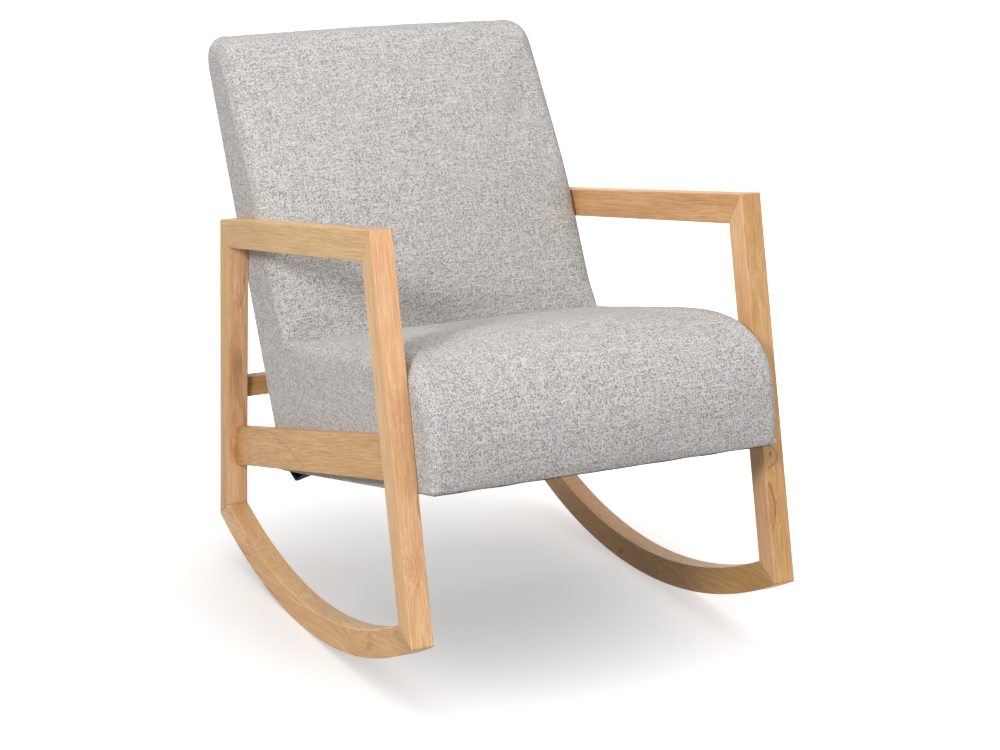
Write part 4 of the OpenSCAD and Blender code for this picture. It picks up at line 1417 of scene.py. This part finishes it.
late = late_wood(uneven, 2.6)
fine = late_wood(g_calc("MULTIPLY", uneven, 3.3), 1.6)
strength = g_ramp(along_rings(0.5, 1.0, 40.0), 0.3, 0.7, 0.25, 0.9)
broken = g_ramp(g_noise(plank, (22, 260, 260), 2.0), 0.36, 0.62, 0.3, 1.0)
rings = g_calc("MULTIPLY", g_calc("MULTIPLY", late, strength), broken)
rings = g_calc("MULTIPLY_ADD", fine, 0.3, rings)
print("rings so far:", len(grain_group.nodes), "nodes")

# %% [markdown]
# ## Streaks, fibres, flecks and clouds
#
# Between the rings lie fibres of a millimetre or two, short dark flecks and pores, and
# slow clouds of darker wood. All of them are far longer along the grain than across it,
# so the noise is stretched in the plank's own coordinates. On Object coordinates it would
# run straight through a curved or leaning timber.

# %% Streaks, fibres, flecks and clouds
patches = g_ramp(g_noise(plank, (6, 30, 30), 1.0), 0.42, 0.6)
streaks = g_ramp(along_rings(0.9, 0.0, 90.0), 0.62, 0.72)
streaks = g_calc("MULTIPLY", streaks, g_calc("MULTIPLY", patches, broken))
fibres = g_noise(plank, (22, 900, 900), 3.0, 0.65, 0.2)
coarse = g_noise(plank, (12, 450, 450), 2.0, 0.65)
fibres = g_calc("MULTIPLY_ADD", coarse, 0.5, g_calc("MULTIPLY", fibres, 0.5))
flecks = g_ramp(g_noise(plank, (75, 800, 800), 1.0), 0.62, 0.72)
pores = g_ramp(g_noise(plank, (170, 2600, 2600), 1.0), 0.64, 0.74)
clouds = g_noise(plank, (3.5, 26, 26), 2.0, 0.55)
height = g_calc("MULTIPLY_ADD", pores, -0.8, fibres)
give_out(grain_group, out, {
    "Rings": rings, "Streaks": streaks, "Fibres": fibres,
    "Flecks": flecks, "Clouds": clouds, "Height": height,
})
print("wood grain group:", len(grain_group.nodes), "nodes")

# %% [markdown]
# ## Threads of the cloth
#
# The cover is a heavy plain weave: warp and weft threads pass over each other by turns.
# Real threads as geometry would take millions of faces, so a node group works in the flat
# cut's own metres instead. It bends the threads a little with noise, and finds which warp
# and which weft thread a point lies on, how far it is from the middle of each, and which
# of the two is on top.

# %% Threads of the cloth
weave_group, given, out = new_group(
    "slub_weave",
    [("Cut", VECTOR, None), ("Pitch", FLOAT, 0.0014), ("Waviness", FLOAT, 0.0012)],
    [(n, FLOAT) for n in ("Shade", "Slubs", "Gap_Shade", "Tint", "Height")],
)
# As with the grain: the helpers with this group's tree already given
w_calc, w_noise, w_ramp = (partial(f, weave_group) for f in (calc, noise, ramp))
cut = given["Cut"]


def drift(axis_offset):
    """Slow sideways wander of the threads, in metres."""
    moved = put(weave_group, "VectorMath", {0: cut, 1: (axis_offset, 0, 0)}, operation="ADD")
    value = w_calc("SUBTRACT", w_noise(moved, (45, 45, 45), 1.5, 0.5), 0.5)
    return w_calc("MULTIPLY", value, given["Waviness"])


lane, cell, middle = {}, {}, {}
for axis, offset in ((0, 3.1), (1, 8.7)):
    own = put(weave_group, "SeparateXYZ", {0: cut}, output=axis)
    place = w_calc("ADD", own, drift(offset))
    lane[axis] = w_calc("DIVIDE", place, given["Pitch"])
    cell[axis] = w_calc("FLOOR", lane[axis])
    middle[axis] = w_calc("MULTIPLY_ADD", w_calc("FRACT", lane[axis]), 2.0, -1.0)
over = w_calc("PINGPONG", w_calc("ADD", cell[0], cell[1]), 1.0)


def thread(own, along):
    """Thickness of a thread, which changes slowly along its length."""
    where = put(weave_group, "CombineXYZ", {
        0: w_calc("MULTIPLY", cell[own], 7.31),
        1: w_calc("MULTIPLY", lane[along], 0.04),
        2: 3.7 * (own + 1),
    })
    return w_noise(where, (1, 1, 1), 2.0, 0.6)


def pick(first, second):
    """first where the warp is on top, second where the weft is."""
    spread = w_calc("MULTIPLY", over, w_calc("SUBTRACT", second, first))
    return w_calc("ADD", first, spread)


def square(value):
    """The value times itself."""
    return w_calc("MULTIPLY", value, value)


print("threads so far:", len(weave_group.nodes), "nodes")

# %% [markdown]
# ## Shade and height of the cloth
# Tweed yarn is spun from greys and off-whites, so every crossing has its own shade, with a
# few thicker and paler lengths of thread. A shade lasts for two crossings of its thread
# and then changes, which gives the short dashes of such cloth. The group gives out that
# shade, the pale slubs, a mask of painted shade for the gaps between the threads, a slow
# tint and the height of the threads, so that light catches single stitches.

# %% Shade and height of the cloth
warp, weft = thread(0, 1), thread(1, 0)
thickness = pick(warp, weft)
slubs = w_calc("MAXIMUM", w_ramp(warp, 0.62, 0.68), w_ramp(weft, 0.60, 0.66))
side_fall = pick(square(middle[0]), square(middle[1]))
end_fall = pick(square(middle[1]), square(middle[0]))
dome = w_calc("MULTIPLY_ADD", side_fall, -0.75, 1.0)
dome = w_calc("MULTIPLY_ADD", end_fall, -0.45, dome)
fuzz = w_noise(cut, (2400, 2400, 2400), 2.0, 0.6)
height = w_calc("MULTIPLY", dome, w_ramp(thickness, 0.3, 0.7, 0.6, 1.2))
height = w_calc("MULTIPLY_ADD", fuzz, 0.35, height)


def dash(own, along):
    """A shade that is the same over two crossings of one thread, then changes."""
    start = w_calc("MULTIPLY", cell[own], 1.7)
    run = w_calc("DIVIDE", w_calc("ADD", cell[along], start), 2.0)
    where = {0: cell[own], 1: w_calc("FLOOR", run), 2: 5.0 * own}
    place = put(weave_group, "CombineXYZ", where)
    return put(weave_group, "TexWhiteNoise", {"Vector": place}, noise_dimensions="3D")


speck = pick(dash(0, 1), dash(1, 0))
patch = w_noise(cut, (60, 60, 60), 2.0, 0.6)
shade = w_calc("MULTIPLY_ADD", speck, 0.68, w_calc("MULTIPLY", thickness, 0.55))
shade = w_calc("MULTIPLY_ADD", patch, 0.10, shade)
shade = w_calc("MULTIPLY_ADD", fuzz, 0.10, shade)
tint = w_noise(cut, (140, 140, 140), 2.0, 0.7)
# Painted shade: the gaps between the threads are darkened, as the threads would shade them
gap_shade = w_ramp(dome, -0.2, 0.5, 1.0, 0.0)
give_out(weave_group, out, {
    "Shade": shade, "Slubs": slubs, "Gap_Shade": gap_shade, "Tint": tint, "Height": height,
})
print("slub weave group:", len(weave_group.nodes), "nodes")

# %% [markdown]
# ## Mixing wood colours
#
# A board has two colours that belong together: early wood, which is the pale ground, and
# late wood, which is darker and laid over it by the grain's masks, one after another, as
# stains would be. Mixing them one by one keeps each effect adjustable, where a single
# colour ramp would tie them all to one value.


# %% Mixing wood colours
def three_tones(tree, tone, first, second, third):
    """A colour between first (tone 0), second (tone 0.5) and third (tone 1)."""
    low = calc(tree, "MULTIPLY", tone, 2.0, clamp=True)
    high = calc(tree, "MULTIPLY_ADD", tone, 2.0, -1.0, clamp=True)
    return mixed(tree, high, mixed(tree, low, first, second), third)


def laid_over(tree, colour, mask, strength, other):
    """Other laid over colour, as strongly as mask times strength."""
    return mixed(tree, calc(tree, "MULTIPLY", mask, strength), colour, other)


def wood_colour(tree, grain, early, late, streak):
    """Base colour from the grain masks between early wood, late wood and streaks."""
    colour = early
    for mask, strength, other in (
        (grain["Rings"], 0.8, late),
        (ramp(tree, grain["Fibres"], 0.41, 0.59), 0.55, late),
        (ramp(tree, grain["Clouds"], 0.35, 0.65), 0.32, late),
        (grain["Flecks"], 0.35, late),
        (grain["Streaks"], 0.4, streak),
    ):
        colour = laid_over(tree, colour, mask, strength, other)
    return colour


def use_group(tree, group, **slots):
    """Places a node group and returns its outputs."""
    made = tree.nodes.new("ShaderNodeGroup")
    made.node_tree = group
    for key, value in slots.items():
        key = key.replace("_", " ")
        if isinstance(value, bpy.types.NodeSocket):
            tree.links.new(value, made.inputs[key])
        else:
            made.inputs[key].default_value = value
    return made.outputs


print("shade of the broad sides:", {name: tone[1] for name, tone in tones.items()})

# %% [markdown]
# ## Lacquered wood
#
# The wood goes from straw over peach to honey by the face's own shade. It darkens along
# rings, fibres, flecks and veins. A clear satin coat lies on top. It is weak and rather
# rough, since a strong one would mirror the studio and hide the grain.

# %% Lacquered wood
maple, tree, shader = new_material("lacquered_maple")
plank = put(tree, "Attribute", {}, output="Vector", attribute_name="grain")
tone = put(tree, "Attribute", {}, output="Fac", attribute_name="tone")
heart = put(tree, "Attribute", {}, output="Fac", attribute_name="heart")
grain = use_group(tree, grain_group, Plank=plank, Ring_Width=0.0024, Wander=0.009)
early = three_tones(tree, tone, srgb(212, 176, 120), srgb(244, 204, 161), srgb(209, 164, 101))
late = three_tones(tree, tone, srgb(172, 126, 66), srgb(206, 142, 92), srgb(158, 107, 46))
colour = wood_colour(tree, grain, early, late, srgb(138, 84, 46))
mineral = mixed(tree, heart, srgb(168, 98, 46), srgb(84, 48, 28))
colour = laid_over(tree, colour, heart, 0.9, mineral)
rough = ramp(tree, grain["Fibres"], 0.3, 0.7, 0.42, 0.54)
finish_with(tree, shader, colour, rough, grain["Height"], 0.00012, 0.6)
shader.inputs["Specular IOR Level"].default_value = 0.35
shader.inputs["Coat Weight"].default_value = 0.1
shader.inputs["Coat Roughness"].default_value = 0.3
for piece in timbers:
    piece.data.materials.clear()
    piece.data.materials.append(maple)
print("lacquered timbers:", len(timbers))

# %% [markdown]
# ## Cover cloth and lining
#
# The cloth mixes its yarn colours by shade, with cool and warm hints, and has a soft sheen
# instead of gloss. The lining is bonded fibre, not woven, so it needs no threads: fine
# noise and the small dots of the bonding press are enough.


# %% Cover cloth and lining
def cloth_material(name):
    """Heathered cloth that reads the flat cut from the piece's UV map."""
    material, tree, shader = new_material(name)
    cut = put(tree, "UVMap", {}, uv_map="weave")
    weave = use_group(tree, weave_group, Cut=cut, Pitch=0.0014, Waviness=0.0012)
    shade = ramp(tree, weave["Shade"], 0.39, 0.90)
    colour = mixed(tree, shade, srgb(141, 139, 137), srgb(216, 213, 211))
    colour = laid_over(tree, colour, weave["Slubs"], 0.5, srgb(230, 227, 224))
    tint = ramp(tree, weave["Tint"], 0.3, 0.7)
    hint = mixed(tree, tint, srgb(250, 252, 255), srgb(255, 252, 248))
    colour = mixed(tree, 1.0, colour, hint, "MULTIPLY")
    # Painted shade in the gaps between the threads: the colour is multiplied darker there
    dark = mixed(tree, 1.0, colour, srgb(176, 174, 173), "MULTIPLY")
    colour = mixed(tree, weave["Gap_Shade"], colour, dark)
    finish_with(tree, shader, colour, 0.92, weave["Height"], 0.0005, 0.8)
    shader.inputs["Specular IOR Level"].default_value = 0.25
    shader.inputs["Sheen Weight"].default_value = 0.08
    shader.inputs["Sheen Roughness"].default_value = 0.5
    return material


cover_cloth = cloth_material("heathered_cover_cloth")
for piece in (seat, back, panel):
    piece.data.materials.append(cover_cloth)

black_cloth, tree, shader = new_material("black_nonwoven")
cut = put(tree, "UVMap", {}, uv_map="weave")
fibre = noise(tree, cut, (900, 900, 900), 4.0, 0.7)
dots = put(tree, "TexVoronoi", {"Vector": stretched(tree, cut, (520, 520, 520)), "Scale": 1.0})
pattern = calc(tree, "MULTIPLY_ADD", dots, 0.6, fibre)
colour = mixed(tree, fibre, srgb(14, 14, 15), srgb(34, 34, 36))
finish_with(tree, shader, colour, 0.85, pattern, 0.0002, 0.7)
lining.data.materials.append(black_cloth)
print("materials:", [m.name for m in bpy.data.materials])

# %% [markdown]
# ## Bare wood, foam and felt
#
# The pieces that nobody sees until the chair is taken apart keep their CAD shapes and get
# finishes of their own. They read Object coordinates, since a CAD node has no pattern map,
# so the grain of the bare wood runs across the chair in all of them.


# %% Bare wood, foam and felt
def object_space(tree):
    """Object coordinates, in metres."""
    return put(tree, "TexCoord", {}, output="Object")


def timber_finish(name, pale, ripe, rough):
    """Bare wood with wide rings, its grain along X."""
    material, tree, shader = new_material(name)
    plank = object_space(tree)
    grain = use_group(tree, grain_group, Plank=plank, Ring_Width=0.005, Wander=0.02)
    colour = wood_colour(tree, grain, pale, ripe, ripe)
    finish_with(tree, shader, colour, rough, grain["Height"], 0.00015, 0.5)
    return material


def foam_finish():
    """Open-cell foam: tiny dark cells in pale yellow, with slow yellowing."""
    material, tree, shader = new_material("open_foam")
    space = object_space(tree)
    cells = put(tree, "TexVoronoi", {"Vector": space, "Scale": 900.0})
    cell = ramp(tree, cells, 0.1, 0.7)
    age = noise(tree, space, (9, 9, 9), 2.0)
    colour = mixed(tree, age, srgb(240, 228, 176), srgb(232, 212, 150))
    colour = mixed(tree, cell, srgb(196, 178, 122), colour)
    finish_with(tree, shader, colour, 0.95, cell, 0.0004, 0.8)
    return material


def felt_finish():
    """Needled felt: short fibres in all directions, mixed greys."""
    material, tree, shader = new_material("needled_felt")
    space = object_space(tree)
    hairs = noise(tree, space, (700, 2300, 900), 5.0, 0.75, 1.5)
    colour = mixed(tree, ramp(tree, hairs, 0.35, 0.65), srgb(92, 92, 96), srgb(156, 152, 148))
    finish_with(tree, shader, colour, 0.95, hairs, 0.0006, 0.9)
    return material


print("grain of the bare wood: Object X")

# %% [markdown]
# ## Webbing and steel
#
# Elastic webbing is ribbed both ways, which two wave textures give when they are
# multiplied. Spring wire is oiled and dark, bolts and clips are zinc-plated and pale. Both
# are one metal finish with other colours: cloudy, and scratched along one direction.


# %% Webbing and steel
def webbing_finish():
    """Elastic webbing: fine ribs both ways, paler on the ribs and darker between them."""
    material, tree, shader = new_material("elastic_webbing")
    space = object_space(tree)
    slots = {"Vector": space, "Scale": 230.0, "Distortion": 0.4}
    ribs, rows = (
        put(tree, "TexWave", slots, output="Fac", bands_direction=axis) for axis in "XZ"
    )
    height = calc(tree, "MULTIPLY", ribs, rows)
    colour = mixed(tree, height, srgb(38, 38, 40), srgb(88, 86, 84))
    finish_with(tree, shader, colour, 0.8, height, 0.0004, 0.7)
    return material


def steel_finish(name, bright, dull, rough_low, rough_high):
    """Plated or oiled steel: cloudy colour and roughness, fine drawing marks."""
    material, tree, shader = new_material(name)
    space = object_space(tree)
    cloud = noise(tree, space, (120, 120, 120), 4.0, 0.6)
    marks = noise(tree, space, (300, 4000, 4000), 2.0, 0.5)
    colour = mixed(tree, cloud, bright, dull)
    rough = ramp(tree, cloud, 0.3, 0.7, rough_low, rough_high)
    finish_with(tree, shader, colour, rough, marks, 0.00003, 0.5)
    shader.inputs["Metallic"].default_value = 1.0
    return material


print("helpers ready for webbing and steel")

# %% [markdown]
# ## Dressing the hidden pieces
#
# A CAD node arrives with a plain material that is named after its slot. That name tells
# which finish it gets here, so a new node with a known slot is dressed without a change.

# %% Dressing the hidden pieces
inner_finishes = {
    "box_timber": timber_finish("bare_pine", srgb(228, 200, 152), srgb(190, 146, 92), 0.7),
    "dowel_timber": timber_finish(
        "beech_dowel", srgb(216, 178, 134), srgb(176, 132, 92), 0.6
    ),
    "foam": foam_finish(),
    "felt": felt_finish(),
    "webbing": webbing_finish(),
    "spring_steel": steel_finish(
        "oiled_spring_wire", srgb(120, 124, 132), srgb(84, 88, 96), 0.28, 0.42
    ),
    "zinc_steel": steel_finish(
        "zinc_plating", srgb(214, 216, 220), srgb(186, 188, 190), 0.25, 0.4
    ),
}
for piece in (seat_foam, back_foam):
    piece.data.materials.clear()
    piece.data.materials.append(inner_finishes["foam"])
for node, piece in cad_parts.items():
    finish = inner_finishes.get(piece.material_slots[0].material.name.split(".")[0])
    if finish is not None:
        for slot in piece.material_slots:
            slot.material = finish
shown = {n: o for n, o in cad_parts.items() if not o.hide_render}
print({node: piece.material_slots[0].material.name for node, piece in shown.items()})

# Both boxes are printed in millimetres.

visual_low, visual_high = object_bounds()
sizes = {
    "cad": [list(cad_low), list(cad_high)],
    "visual": [list(visual_low), list(visual_high)],
}
for label, (low, high) in sizes.items():
    print(label, "box in mm:", [round(c / MM, 1) for c in (*low, *high)])
